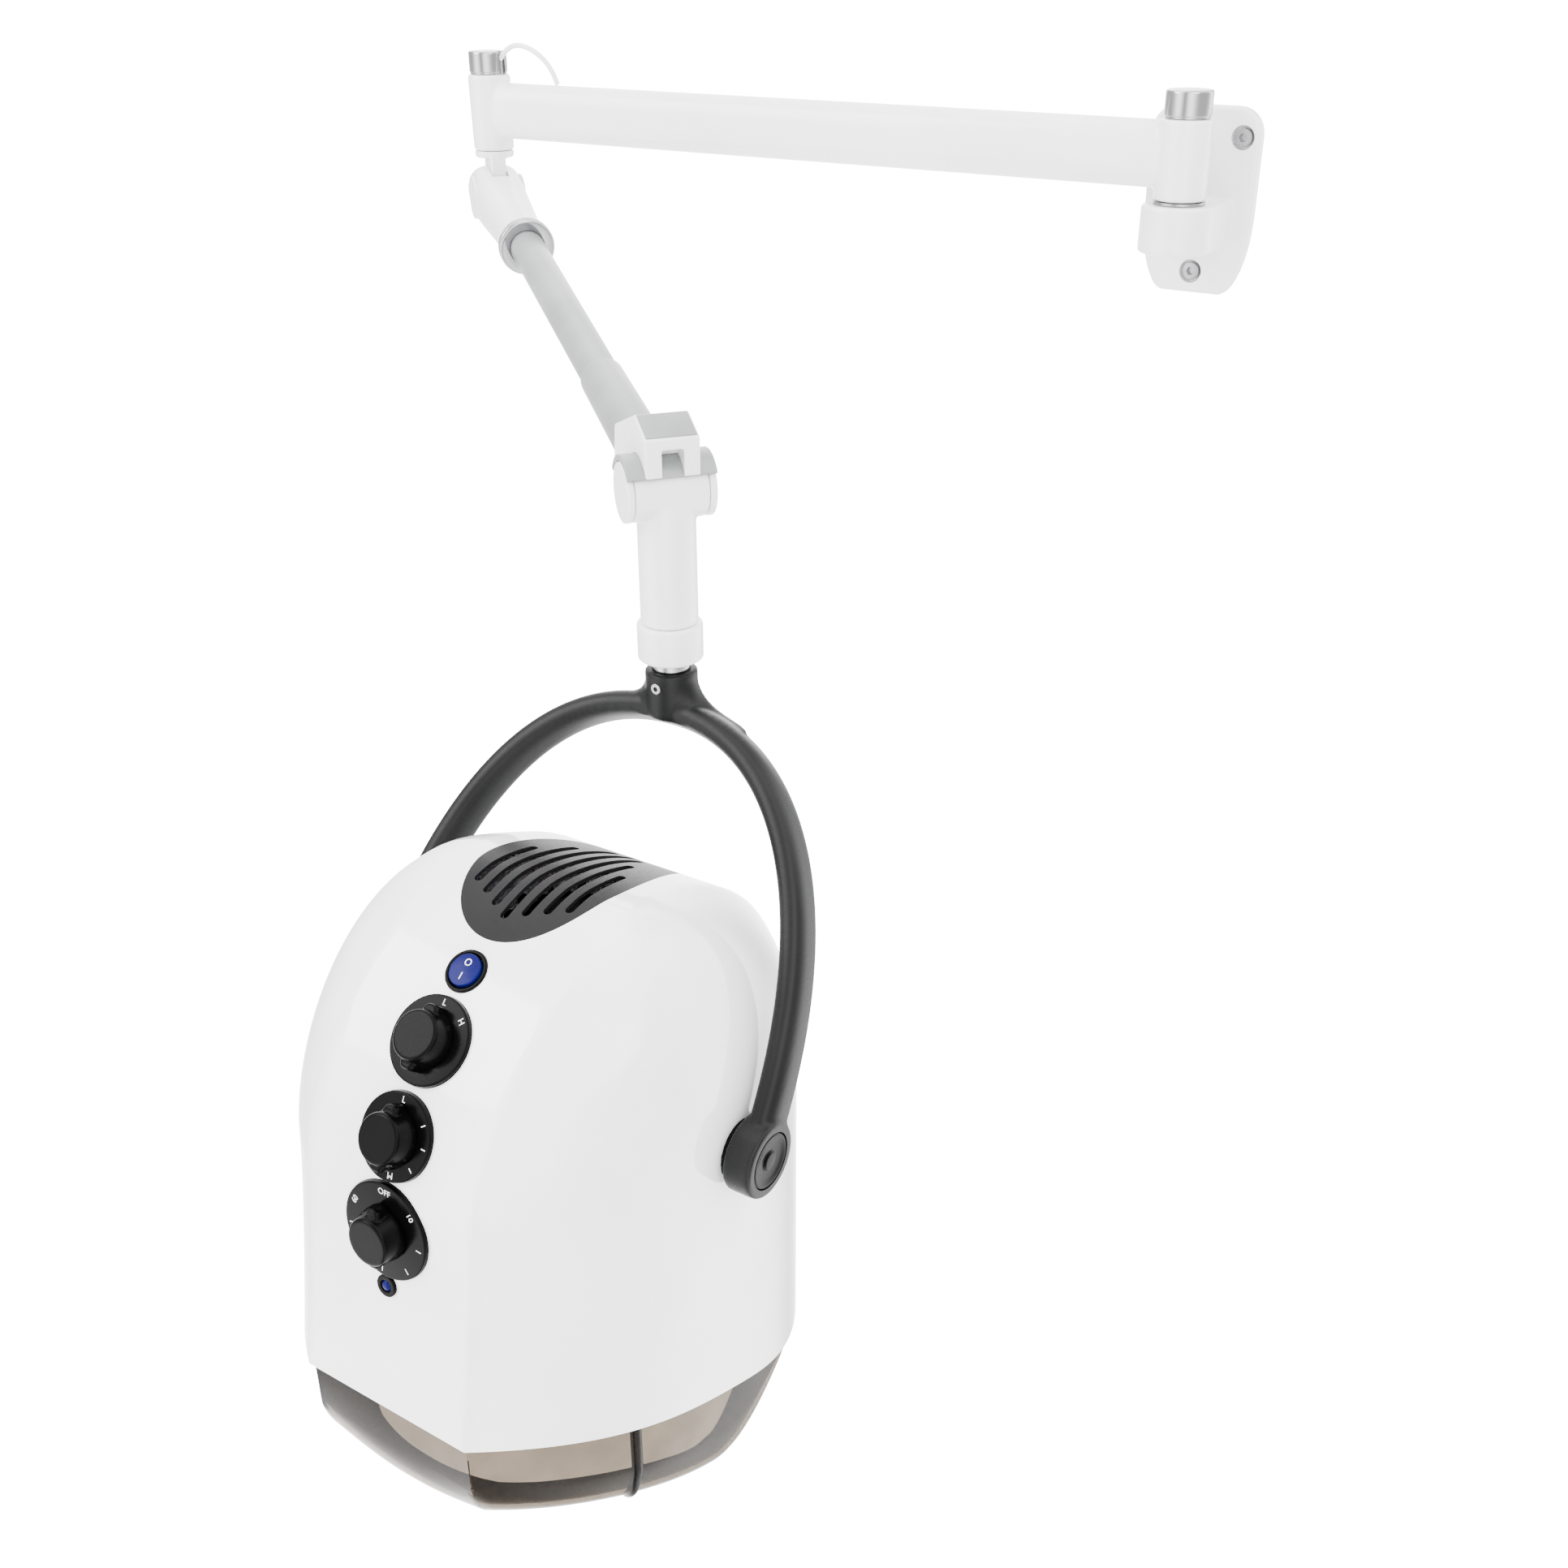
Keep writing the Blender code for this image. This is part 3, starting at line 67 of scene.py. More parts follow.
# Axes of the bodies, read from the frame's joints
JOINT = {joint["name"]: joint for joint in frame["joints"]}
POST, ELBOW, HINGE, STEM, HUB = (
    Vector(JOINT[name]["pos_m"])
    for name in ("arm_swing", "elbow_swivel", "spring_tilt", "yoke_swivel", "hood_tilt"))
TILT_AXIS = JOINT["spring_tilt"]["axis"]
HEADING = math.atan2(TILT_AXIS[0], -TILT_AXIS[1])
SPRING_SPAN = STEM - HINGE
SPRING_LENGTH = SPRING_SPAN.length
SPRING_SLOPE = math.asin(-SPRING_SPAN.z / SPRING_LENGTH)
TURN = Matrix.Rotation(HEADING, 4, "Z")
ARM_FRAME = Matrix.Translation(POST)
KNUCKLE_FRAME = Matrix.Translation(HINGE) @ TURN
SPRING_FRAME = KNUCKLE_FRAME @ Matrix.Rotation(SPRING_SLOPE, 4, "Y")
STEM_FRAME = Matrix.Translation(STEM) @ TURN
YOKE_FRAME = Matrix.Translation(STEM)
HOOD_FRAME = Matrix.Translation(HUB)
ACROSS = Matrix.Rotation(math.pi / 2, 4, "X")  # lays +Z along the hinge axis
LAY = Matrix.Rotation(math.pi / 2, 4, "Y")  # lays +Z along +X
UPRIGHT = Matrix.Rotation(math.pi / 2, 4, "X")  # lays +Z along -Y, out of the wall
TUBE_FACE = Matrix(((0, 0, 1, 0), (1, 0, 0, 0), (0, 1, 0, 0), (0, 0, 0, 1)))  # lays XY on YZ, +Z along the tube

# Camera fitted to the photograph: focal length and frame in its pixels
PHOTO_SIZE = 1932
FOCAL_PIXELS = 2051
CAMERA_PLACE = Vector((0.4405, -1.2840, 0.1778))
CAMERA_PITCH = math.radians(27.03)
CAMERA_AZIMUTH = math.radians(32.41)
SENSOR_MM = 36


# Finishes

def put(node, **values):
    """Set even values on a node's own sockets; an underscore stands for a space in a socket's name."""
    for socket, value in values.items():
        node.inputs[socket.replace("_", " ")].default_value = value


def new_material(name, colour, roughness, metallic=0.0):
    """A Principled material and its shader."""
    material = bpy.data.materials.new(name)
    material.use_nodes = True
    shader = material.node_tree.nodes["Principled BSDF"]
    put(shader, Base_Color=(*colour, 1), Roughness=roughness, Metallic=metallic)
    return material, shader


def add_noise(material, scale, detail=4.0):
    """A noise on Object coordinates, in features per metre."""
    nodes, links = material.node_tree.nodes, material.node_tree.links
    place = nodes.new("ShaderNodeTexCoord")
    noise = nodes.new("ShaderNodeTexNoise")
    put(noise, Scale=scale, Detail=detail)
    links.new(place.outputs["Object"], noise.inputs["Vector"])
    return noise.outputs["Fac"]


def vary(material, shader, value, socket, low, high):
    """Drive a socket between two values by a noise."""
    spread = material.node_tree.nodes.new("ShaderNodeMapRange")
    put(spread, From_Min=0.3, From_Max=0.7, To_Min=low, To_Max=high)
    material.node_tree.links.new(value, spread.inputs["Value"])
    material.node_tree.links.new(spread.outputs["Result"], shader.inputs[socket])


def tint(material, shader, value, dark, light):
    """Mix two close colours by a noise."""
    ramp = material.node_tree.nodes.new("ShaderNodeValToRGB")
    ramp.color_ramp.elements[0].position = 0.35
    ramp.color_ramp.elements[1].position = 0.65
    ramp.color_ramp.elements[0].color = (*dark, 1)
    ramp.color_ramp.elements[1].color = (*light, 1)
    material.node_tree.links.new(value, ramp.inputs["Fac"])
    material.node_tree.links.new(ramp.outputs["Color"], shader.inputs["Base Color"])


def emboss(material, shader, value, strength, distance):
    """Raise the surface by a noise."""
    bump = material.node_tree.nodes.new("ShaderNodeBump")
    put(bump, Strength=strength, Distance=distance)
    material.node_tree.links.new(value, bump.inputs["Height"])
    material.node_tree.links.new(bump.outputs["Normal"], shader.inputs["Normal"])


def painted(name, dark, light, roughness, grain, bump, coat=0.0, metallic=0.0, specular=0.5):
    """A painted or moulded finish: two close tones, uneven gloss and a fine skin."""
    material, shader = new_material(name, light, roughness, metallic)
    put(shader, Specular_IOR_Level=specular, Coat_Weight=coat, Coat_Roughness=0.05)
    broad = add_noise(material, 18.0)
    fine = add_noise(material, grain, 2.0)
    tint(material, shader, broad, dark, light)
    vary(material, shader, fine, "Roughness", roughness * 0.8, roughness * 1.25)
    emboss(material, shader, fine, bump, 0.0002)
    return material


def smoked():
    """Smoked clear plastic: a grey-brown tint that light passes through."""
    material, shader = new_material("smoked_plastic", (0.03, 0.0235, 0.0172), 0.03)
    put(shader, Transmission_Weight=1.0, IOR=1.12)
    haze = add_noise(material, 30.0)
    tint(material, shader, haze, (0.026, 0.0204, 0.0149), (0.034, 0.0266, 0.0195))
    vary(material, shader, haze, "Roughness", 0.02, 0.05)
    return material


WHITE = painted("white_powder_paint", (0.76, 0.76, 0.76), (0.82, 0.82, 0.82), 0.28, 900.0, 0.05, 0.4)
GLOSS = painted("gloss_white_moulding", (0.80, 0.80, 0.80), (0.85, 0.85, 0.85), 0.12, 420.0, 0.02, 0.6)
LINER = painted("liner_moulding", (0.66, 0.66, 0.66), (0.72, 0.72, 0.72), 0.35, 420.0, 0.05)
CHROME = painted("polished_chrome", (0.30, 0.30, 0.31), (0.37, 0.37, 0.38), 0.10, 600.0, 0.01, 0.0, 1.0)
SATIN = painted("satin_grey_paint", (0.18, 0.185, 0.188), (0.22, 0.225, 0.228), 0.34, 1300.0, 0.08, 0.1)
DARK = painted("dark_grey_casting", (0.005, 0.005, 0.0053),
               (0.007, 0.007, 0.0073), 0.36, 1500.0, 0.12, specular=0.11)
GRILLE = painted("grille_moulding", (0.005, 0.005, 0.0053),
                 (0.007, 0.007, 0.0073), 0.42, 1300.0, 0.1, specular=0.10)
BLACK = painted("black_moulding", (0.0008, 0.0008, 0.0008),
                (0.0014, 0.0014, 0.0014), 0.2, 700.0, 0.04, specular=0.04)
BLUE = painted("blue_moulding", (0.0015, 0.0015, 0.05),
               (0.0025, 0.0025, 0.07), 0.16, 600.0, 0.03, specular=0.06)
MARKS = painted("white_print", (0.7, 0.7, 0.7), (0.78, 0.78, 0.78), 0.45, 900.0, 0.02)
STEEL = painted("bright_steel", (0.24, 0.24, 0.25), (0.31, 0.31, 0.32), 0.22, 900.0, 0.05, 0.0, 1.0)
SMOKE = smoked()


# Surfaces

def grid_faces(rows, columns, wrap_rows=False):
    """Corner numbers of the quads of a grid of points whose columns close on themselves, as one array."""
    row = np.arange(rows if wrap_rows else rows - 1)[:, None]
    column = np.arange(columns)[None, :]
    below, beside = (row + 1) % rows, (column + 1) % columns
    corners = (row * columns + column, row * columns + beside,
               below * columns + beside, below * columns + column)
    return np.stack(np.broadcast_arrays(*corners), -1).reshape(-1, 4)


def moved(points, place):
    """An array of points carried by a 4 by 4 frame."""
    turn = np.array(place.to_3x3())
    return points @ turn.T + np.array(place.translation)


def placed(name, data):
    """A new object in the scene."""
    item = bpy.data.objects.new(name, data)
    bpy.context.scene.collection.objects.link(item)
    return item


def mesh_object(name, points, faces, material, sharp=32.0):
    """An object from arrays: doubles merged, faces turned out, smooth below the sharp angle."""
    mesh = bpy.data.meshes.new(name)
    mesh.from_pydata(np.asarray(points).reshape(-1, 3).tolist(), [], [list(face) for face in faces])
    item = placed(name, mesh)
    tidy(item, material, sharp)
    return item


def tidy(item, material, sharp=32.0):
    """Merge doubles, turn the faces outwards and shade the mesh."""
    bm = bmesh.new()
    bm.from_mesh(item.data)
    bmesh.ops.remove_doubles(bm, verts=bm.verts, dist=0.004 * MM)
    bmesh.ops.dissolve_degenerate(bm, edges=bm.edges, dist=0.002 * MM)
    bmesh.ops.recalc_face_normals(bm, faces=bm.faces)
    bm.to_mesh(item.data)
    bm.free()
    item.data.materials.clear()
    item.data.materials.append(material)
    item.data.shade_smooth()
    item.data.set_sharp_from_angle(angle=math.radians(sharp))


def rounded(corners, radius=1.0 * MM, steps=5, closed=False):
    """A line of corners with each one drawn round: a Bezier arc from a cut before it to a cut after it."""
    corners = np.asarray(corners, float)
    before = np.roll(corners, 1, 0)
    after = np.roll(corners, -1, 0)
    span_in = np.linalg.norm(before - corners, axis=1, keepdims=True)
    span_out = np.linalg.norm(after - corners, axis=1, keepdims=True)
    cut = np.minimum(radius, 0.45 * np.minimum(span_in, span_out))
    if not closed:
        cut[[0, -1]] = 0
    start = corners + (before - corners) * cut / np.maximum(span_in, 1e-9)
    stop = corners + (after - corners) * cut / np.maximum(span_out, 1e-9)
    t = np.linspace(0, 1, steps)[None, :, None]
    arc = start[:, None] * (1 - t) ** 2 + 2 * corners[:, None] * t * (1 - t) + stop[:, None] * t ** 2
    return arc.reshape(-1, corners.shape[1])


def full_turn(count):
    """Even angles round a circle."""
    return np.linspace(0, math.tau, count, endpoint=False)


def swept(profile, angle):
    """Each (radius, height) of a profile carried about +Z by the cosine and sine of the angles."""
    return np.stack((profile[:, :1] * np.cos(angle), profile[:, :1] * np.sin(angle),
                     np.broadcast_to(profile[:, 1:], (len(profile), len(angle)))), -1)


def turned(name, corners, place, material, radius=1.0 * MM, sides=96, closed=False):
    """A surface of revolution: the rounded profile swept about the frame's +Z."""
    profile = rounded(corners, radius, closed=closed)
    faces = grid_faces(len(profile), sides, wrap_rows=closed)
    return mesh_object(name, moved(swept(profile, full_turn(sides)), place), faces, material)


def disc(name, radius, low, high, place, material, edge=1.0 * MM, sides=96):
    """A turned disc or rod between two heights."""
    return turned(name, [(0, high), (radius, high), (radius, low), (0, low)], place, material, edge, sides)


def stacked(name, rings, place, material):
    """Closed sections joined in order, with flat ends."""
    rings = np.asarray(rings, float)
    faces = grid_faces(len(rings), rings.shape[1]).tolist()
    last = (len(rings) - 1) * rings.shape[1]
    faces += [list(range(rings.shape[1])), list(range(last, last + rings.shape[1]))]
    return mesh_object(name, moved(rings, place), faces, material)


def slab(name, outline, low, high, place, material, edge=1.5 * MM):
    """An outline in XY raised between two heights, its rims drawn in to a quarter round."""
    outline = np.asarray(outline, float)
    t = np.linspace(0, math.pi / 2, 5)
    inset = np.concatenate((edge * (1 - np.sin(t)), edge * (1 - np.sin(t[::-1]))))
    height = np.concatenate((low + edge * (1 - np.cos(t)), high - edge * (1 - np.cos(t[::-1]))))
    ahead = np.roll(outline, -1, 0) - np.roll(outline, 1, 0)
    normal = np.stack((ahead[:, 1], -ahead[:, 0]), -1)
    normal /= np.maximum(np.linalg.norm(normal, axis=1, keepdims=True), 1e-9)
    area = np.sum(outline[:, 0] * np.roll(outline[:, 1], -1) - outline[:, 1] * np.roll(outline[:, 0], -1))
    flat = outline[None] - np.sign(area) * normal[None] * inset[:, None, None]
    rings = np.concatenate((flat, np.broadcast_to(height[:, None, None], flat.shape[:2] + (1,))), -1)
    return stacked(name, rings, place, material)


def baked(item):
    """The mesh that an object shows, with its modifiers done."""
    bpy.context.view_layer.update()
    return bpy.data.meshes.new_from_object(item.evaluated_get(bpy.context.evaluated_depsgraph_get()))


def evaluated(item):
    """Bake an object's modifiers into its mesh."""
    mesh = baked(item)
    item.modifiers.clear()
    item.data = mesh


def carve(item, tools, operation="DIFFERENCE", sharp=32.0):
    """Cut an object with tools, or keep what they share, and remove the tools."""
    for tool in tools:
        step = item.modifiers.new("carve", "BOOLEAN")
        step.operation = operation
        step.solver = "EXACT"
        step.object = tool
    evaluated(item)
    for tool in tools:
        bpy.data.objects.remove(tool)
    tidy(item, item.data.materials[0], sharp)
    return item


def joined(items, name):
    """Several meshes as one piece."""
    bm = bmesh.new()
    for item in items:
        bm.from_mesh(item.data)
    mesh = bpy.data.meshes.new(name)
    bm.to_mesh(mesh)
    bm.free()
    mesh.materials.append(items[0].data.materials[0])
    for item in items:
        bpy.data.objects.remove(item)
    return placed(name, mesh)


def casting(name, solids, voxel, material, passes=6):
    """Solids flowed into one cast piece: a voxel skin over all of them, relaxed so that inner corners fill."""
    item = joined(solids, name)
    skin = item.modifiers.new("skin", "REMESH")
    skin.mode = "VOXEL"
    skin.voxel_size = voxel
    relax = item.modifiers.new("relax", "SMOOTH")
    relax.factor = 0.5
    relax.iterations = passes
    evaluated(item)
    tidy(item, material, 60.0)
    return item


def dress(item, body, *nodes, slot=None):
    """Ride a piece on its body, in place of CAD nodes."""
    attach(item, body)
    if nodes:
        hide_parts(*nodes)


def oval(half_y, half_z, power, count):
    """A superellipse: cosine and sine raised to 2 over the power."""
    angle = full_turn(count)
    wave = np.stack((np.cos(angle), np.sin(angle)), -1)
    return np.sign(wave) * np.abs(wave) ** (2 / power) * (half_y, half_z)


def rectangle(left, right, low, high):
    """Four corners, in order round a rectangle."""
    return [(left, low), (right, low), (right, high), (left, high)]


def ease(share):
    """A smooth step from 0 to 1: three times the square of the share, less twice its cube."""
    share = np.clip(share, 0, 1)
    return share ** 2 * (3 - 2 * share)


# Wall bracket
PLATE_WIDTH, PLATE_HEIGHT, PLATE_THICKNESS = 84 * MM, 134 * MM, 12 * MM
PLATE_CORNER, PLATE_FOOT_WIDTH = 20 * MM, 46 * MM
BOSS_RADIUS, BOSS_HEIGHT = 27 * MM, 34 * MM
SCREW_PLACES = {
    "wall_screw_left": (-29 * MM, 46 * MM), "wall_screw_right": (29 * MM, 46 * MM),
    "wall_screw_lower": (0, -51 * MM),
}
SCREW_RADIUS, SCREW_RECESS = 6.5 * MM, 7 * MM
WASHER_RADIUS, WASHER_BORE, POST_CAP_RADIUS = 19 * MM, 12.4 * MM, 17 * MM


def plate_outline(count=40):
    """A shield: round ears above, and sides that curve in to a narrower foot."""
    half, top, foot = PLATE_WIDTH / 2, PLATE_HEIGHT / 2, PLATE_FOOT_WIDTH / 2
    ear = np.linspace(0, math.pi / 2, count)
    taper = np.linspace(1, 0, count)
    x = np.concatenate((foot + (half - foot) * (1 - taper ** 2.2) ** 0.6,
                        half - PLATE_CORNER + PLATE_CORNER * np.cos(ear)))
    z = np.concatenate((-0.1 * top - 0.9 * top * taper, top - PLATE_CORNER + PLATE_CORNER * np.sin(ear)))
    return np.concatenate((np.stack((x, z), -1), np.stack((-x, z), -1)[::-1]))


def wall_bracket():
    """A plate cast with its boss, which is half a circle about the post run straight back to the wall."""
    boss_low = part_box("thrust_washer")[0].z - GAP - BOSS_HEIGHT
    boss_high = boss_low + BOSS_HEIGHT
    standoff = -POST.y
    arc = np.linspace(math.pi, math.tau, 40)
    around = np.stack((BOSS_RADIUS * np.cos(arc), -standoff + BOSS_RADIUS * np.sin(arc)), -1)
    side = np.array([[BOSS_RADIUS, -2 * MM], [-BOSS_RADIUS, -2 * MM]])
    boss = slab("boss", np.concatenate((around, side)), boss_low, boss_high, Matrix(), WHITE, 2.5 * MM)
    plate = slab("plate", plate_outline(), 0, PLATE_THICKNESS, UPRIGHT, WHITE, 3 * MM)
    plate = casting("wall_bracket", [plate, boss], 1.1 * MM, WHITE)
    places = {name: Matrix.Translation((x, 0, z)) @ UPRIGHT for name, (x, z) in SCREW_PLACES.items()}
    floor = PLATE_THICKNESS - SCREW_RECESS
    carve(plate, [disc("recess", SCREW_RADIUS + 2.2 * MM, floor, PLATE_THICKNESS + 5 * MM, place, WHITE, 0.1 * MM)
                  for place in places.values()])
    dress(plate, "bracket", "wall_plate")
    seat = floor + GAP
    for name, place in places.items():
        head = disc(f"{name}_head", SCREW_RADIUS, 2 * GAP, seat + 6 * MM, place, STEEL, 0.8 * MM)
        carve(head, [disc("socket", 3.3 * MM, seat + 2.5 * MM, seat + 9 * MM, place, STEEL, 0, 6)])
        dress(head, "bracket", name)
    low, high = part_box("wall_post_cap")
    dress(post_cap("wall_cap", low.z, high.z, POST), "bracket", "wall_post_cap")
    low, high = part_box("thrust_washer")
    place = Matrix.Translation((POST.x, POST.y, 0))
    profile = [(WASHER_RADIUS, high.z), (WASHER_RADIUS, low.z), (WASHER_BORE, low.z), (WASHER_BORE, high.z)]
    dress(turned("washer", profile, place, STEEL, 0.4 * MM, closed=True), "bracket", "thrust_washer")


def post_cap(name, low, high, axis):
    """A polished cap with a soft rim and a hairline step near its foot."""
    radius = POST_CAP_RADIUS
    corners = [(0, high), (radius, high), (radius, low + 2 * MM), (radius - 0.6 * MM, low + 1.6 * MM),
               (radius - 0.6 * MM, low), (0, low)]
    return turned(name, corners, Matrix.Translation((axis.x, axis.y, 0)), CHROME, 2 * MM)


# Horizontal arm
ARM_LENGTH = POST.x - ELBOW.x
ARM_TALL, ARM_THICK, ARM_SQUARENESS, SLEEVE_RADIUS = 47 * MM, 28 * MM, 2.6, 19 * MM
SLEEVE_DROP = 34 * MM  # from the elbow's height to the foot of the arm's end
CABLE_RADIUS = 2.2 * MM
# Route of the cable from the cap's slot to the arm's top, from the elbow post's axis
CABLE_ROUTE = [(14.9, 43), (21, 49), (31, 54), (43, 54), (55, 50), (66, 43), (74, 34), (79, 24.5)]


def horizontal_arm():
    """Superellipse sections along -X, cast with an upright sleeve at each end, and the slotted cap."""
    sections = []
    for share in np.linspace(0, 1, 80):
        y_z = oval(ARM_THICK / 2, ARM_TALL / 2, ARM_SQUARENESS, 64)
        sections.append(np.column_stack((np.full(64, -ARM_LENGTH * share), y_z)))
    tube = stacked("tube", sections, ARM_FRAME, WHITE)
    arm_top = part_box("swing_arm")[1].z
    wall_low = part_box("thrust_washer")[1].z + GAP
    cap_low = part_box("wall_post_cap")[0].z - GAP
    knuckle_high = ELBOW.z - SLEEVE_DROP
    sleeve = disc("sleeve", SLEEVE_RADIUS, wall_low, cap_low, Matrix.Translation((POST.x, POST.y, 0)), WHITE)
    end = turned("end", [(0, arm_top), (SLEEVE_RADIUS, arm_top), (SLEEVE_RADIUS - 1 * MM, knuckle_high),
                         (0, knuckle_high)], Matrix.Translation((ELBOW.x, ELBOW.y, 0)), WHITE)
    dress(casting("arm_casting", [tube, sleeve, end], 1.5 * MM, WHITE, 8), "arm", "swing_arm")
    low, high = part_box("elbow_cap")
    cap = post_cap("slotted_cap", low.z, high.z, ELBOW)
    place = Matrix.Translation((ELBOW.x + 14.6 * MM, ELBOW.y, (low.z + high.z) / 2))
    slot = slab("slot", oval(7 * MM, 3.5 * MM, 4, 40), -20 * MM, 20 * MM,
                Matrix.Translation((5 * MM, 0, 0)) @ place, CHROME, 0.1 * MM)
    dress(carve(cap, [slot]), "arm", "elbow_cap")
    cable_loop()


def smooth_route(points, steps=8):
    """A Catmull-Rom curve through the route's points."""
    route = np.asarray(points, float)
    padded = np.vstack((2 * route[0] - route[1], route, 2 * route[-1] - route[-2]))
    a, b, c, d = padded[:-3], padded[1:-2], padded[2:-1], padded[3:]
    t = (np.arange(steps) / steps)[None, :, None]
    a, b, c, d = (value[:, None] for value in (a, b, c, d))
    curve = 0.5 * (2 * b + (c - a) * t + (2 * a - 5 * b + 4 * c - d) * t ** 2
                   + (3 * b - a - 3 * c + d) * t ** 3)
    return np.vstack((curve.reshape(-1, route.shape[1]), route[-1:]))


def cable_loop():
    flat = smooth_route(CABLE_ROUTE) * MM
    path = np.column_stack((ELBOW.x + flat[:, 0], np.full(len(flat), ELBOW.y), ELBOW.z + flat[:, 1]))
    curve = bpy.data.curves.new("cable", "CURVE")
    curve.dimensions = "3D"
    curve.bevel_depth = CABLE_RADIUS
    curve.bevel_resolution = 6
    curve.use_fill_caps = True
    spline = curve.splines.new("POLY")
    spline.points.add(len(path) - 1)
    spline.points.foreach_set("co", np.column_stack((path, np.ones(len(path)))).ravel())
    cable = placed("elbow_cable", curve)
    curve.materials.append(WHITE)
    dress(cable, "arm", "cable_loop", slot="white_paint")


# Elbow and spring arm
HOUSING_LENGTH, HOUSING_BACK = 122 * MM, 24 * MM
HOUSING_HALF_WIDTH, HOUSING_HALF_HEIGHT, HOUSING_END = 23 * MM, 27 * MM, 20 * MM
HOUSING_SQUARENESS, HOUSING_ROUNDING, NOSE_SHARE, NOSE_LOW, NOSE_RISE = 3.2, 1.2, 0.16, 0.45, 0.55
HINGE_CAP_RADIUS, HINGE_CAP_INNER, HINGE_CAP_OUTER = 19 * MM, 20.3 * MM, 23.3 * MM
POCKET_RADIUS, POCKET_FLOOR, POCKET_END = 19.4 * MM, 20 * MM, 40 * MM
TONGUE_HALF, TONGUE_RADIUS, HINGE_DROP = 7 * MM, 17 * MM, 75 * MM
TUBE_RADIUS, RING_RADIUS, RING_LENGTH = 15 * MM, 24.5 * MM, 9 * MM
LOWER_SLEEVE_RADIUS, LOWER_SLEEVE_LENGTH = 18 * MM, 110 * MM
BLOCK_LENGTH, BLOCK_HALF_WIDTH = 66 * MM, 19 * MM
BLOCK_FOOT_CUT, BLOCK_EDGE, MOUTH_HALF, MOUTH_BELOW_NOSE = 30 * MM, 4 * MM, 7.8 * MM, 7 * MM
COVER_FROM, COVER_TO = 34, 152  # degrees about the barrel
# Toe, nose and crest of the block's side view, from the barrel's axis along and square to the spring arm
BLOCK_NOSE = ((18.5 * MM, 19 * MM), (13.5 * MM, 43.5 * MM), (-14.5 * MM, 49 * MM))
BARREL_RADIUS, BARREL_HALF = 21 * MM, 26 * MM
COVER_INNER, COVER_OUTER, CHEEK_THICK = 21.6 * MM, 25.6 * MM, 5 * MM


def elbow_knuckle():
    """A collar cast with a tongue, whose foot is half a circle about the hinge."""
    top = HINGE_DROP - SLEEVE_DROP - GAP
    collar = turned("collar", [(0, top), (18 * MM, top), (17 * MM, top - 6 * MM), (0, top - 6 * MM)],
                    KNUCKLE_FRAME, WHITE)
    angle = np.linspace(math.pi, math.tau, 40)
    outline = np.vstack((np.column_stack((TONGUE_RADIUS * np.cos(angle), TONGUE_RADIUS * np.sin(angle))),
                         [[TONGUE_RADIUS, top - 3 * MM], [-TONGUE_RADIUS, top - 3 * MM]]))
    tongue = slab("tongue", outline, -TONGUE_HALF, TONGUE_HALF, KNUCKLE_FRAME @ ACROSS, WHITE)
    dress(casting("knuckle", [collar, tongue], 0.9 * MM, WHITE, 4), "knuckle", "elbow_knuckle")


def spring_housing():
    """Superellipse sections that ease to a round end, their height growing over the nose as a quarter ellipse."""
    count = 72
    sections = []
    for share in np.linspace(0, 1, 50):
        blend = ease(share)
        nose = math.sqrt(1 - max(0.0, 1 - share / NOSE_SHARE) ** 2) * NOSE_RISE + NOSE_LOW
        width = HOUSING_HALF_WIDTH + (HOUSING_END - HOUSING_HALF_WIDTH) * blend
        height = (HOUSING_HALF_HEIGHT + (HOUSING_END - HOUSING_HALF_HEIGHT) * blend) * nose
        x = -HOUSING_BACK + (HOUSING_LENGTH + HOUSING_BACK) * share
        section = oval(width, height, HOUSING_SQUARENESS - HOUSING_ROUNDING * blend, count)
        sections.append(np.column_stack((np.full(count, x), section)))
    housing = stacked("housing", sections, SPRING_FRAME, WHITE)
    slot_half, reach = TONGUE_HALF + 2 * GAP, TONGUE_RADIUS + 4 * MM
    tools = [
        slab("slot", rectangle(-OVERRUN, reach, -slot_half, slot_half), -reach, OVERRUN, SPRING_FRAME, WHITE,
             0.05 * MM),
        disc("pocket", POCKET_RADIUS, POCKET_FLOOR, POCKET_END, SPRING_FRAME @ ACROSS, WHITE, 0.05 * MM),
        disc("pocket", POCKET_RADIUS, -POCKET_END, -POCKET_FLOOR, SPRING_FRAME @ ACROSS, WHITE, 0.05 * MM),
    ]
    dress(carve(housing, tools), "spring_arm", "spring_housing")
    for node, side in (("hinge_cap_left", 1), ("hinge_cap_right", -1)):
        low, high = sorted((side * HINGE_CAP_INNER, side * HINGE_CAP_OUTER))
        dress(disc(f"{node}_disc", HINGE_CAP_RADIUS, low, high, SPRING_FRAME @ ACROSS, WHITE, 1.2 * MM),
              "spring_arm", node)


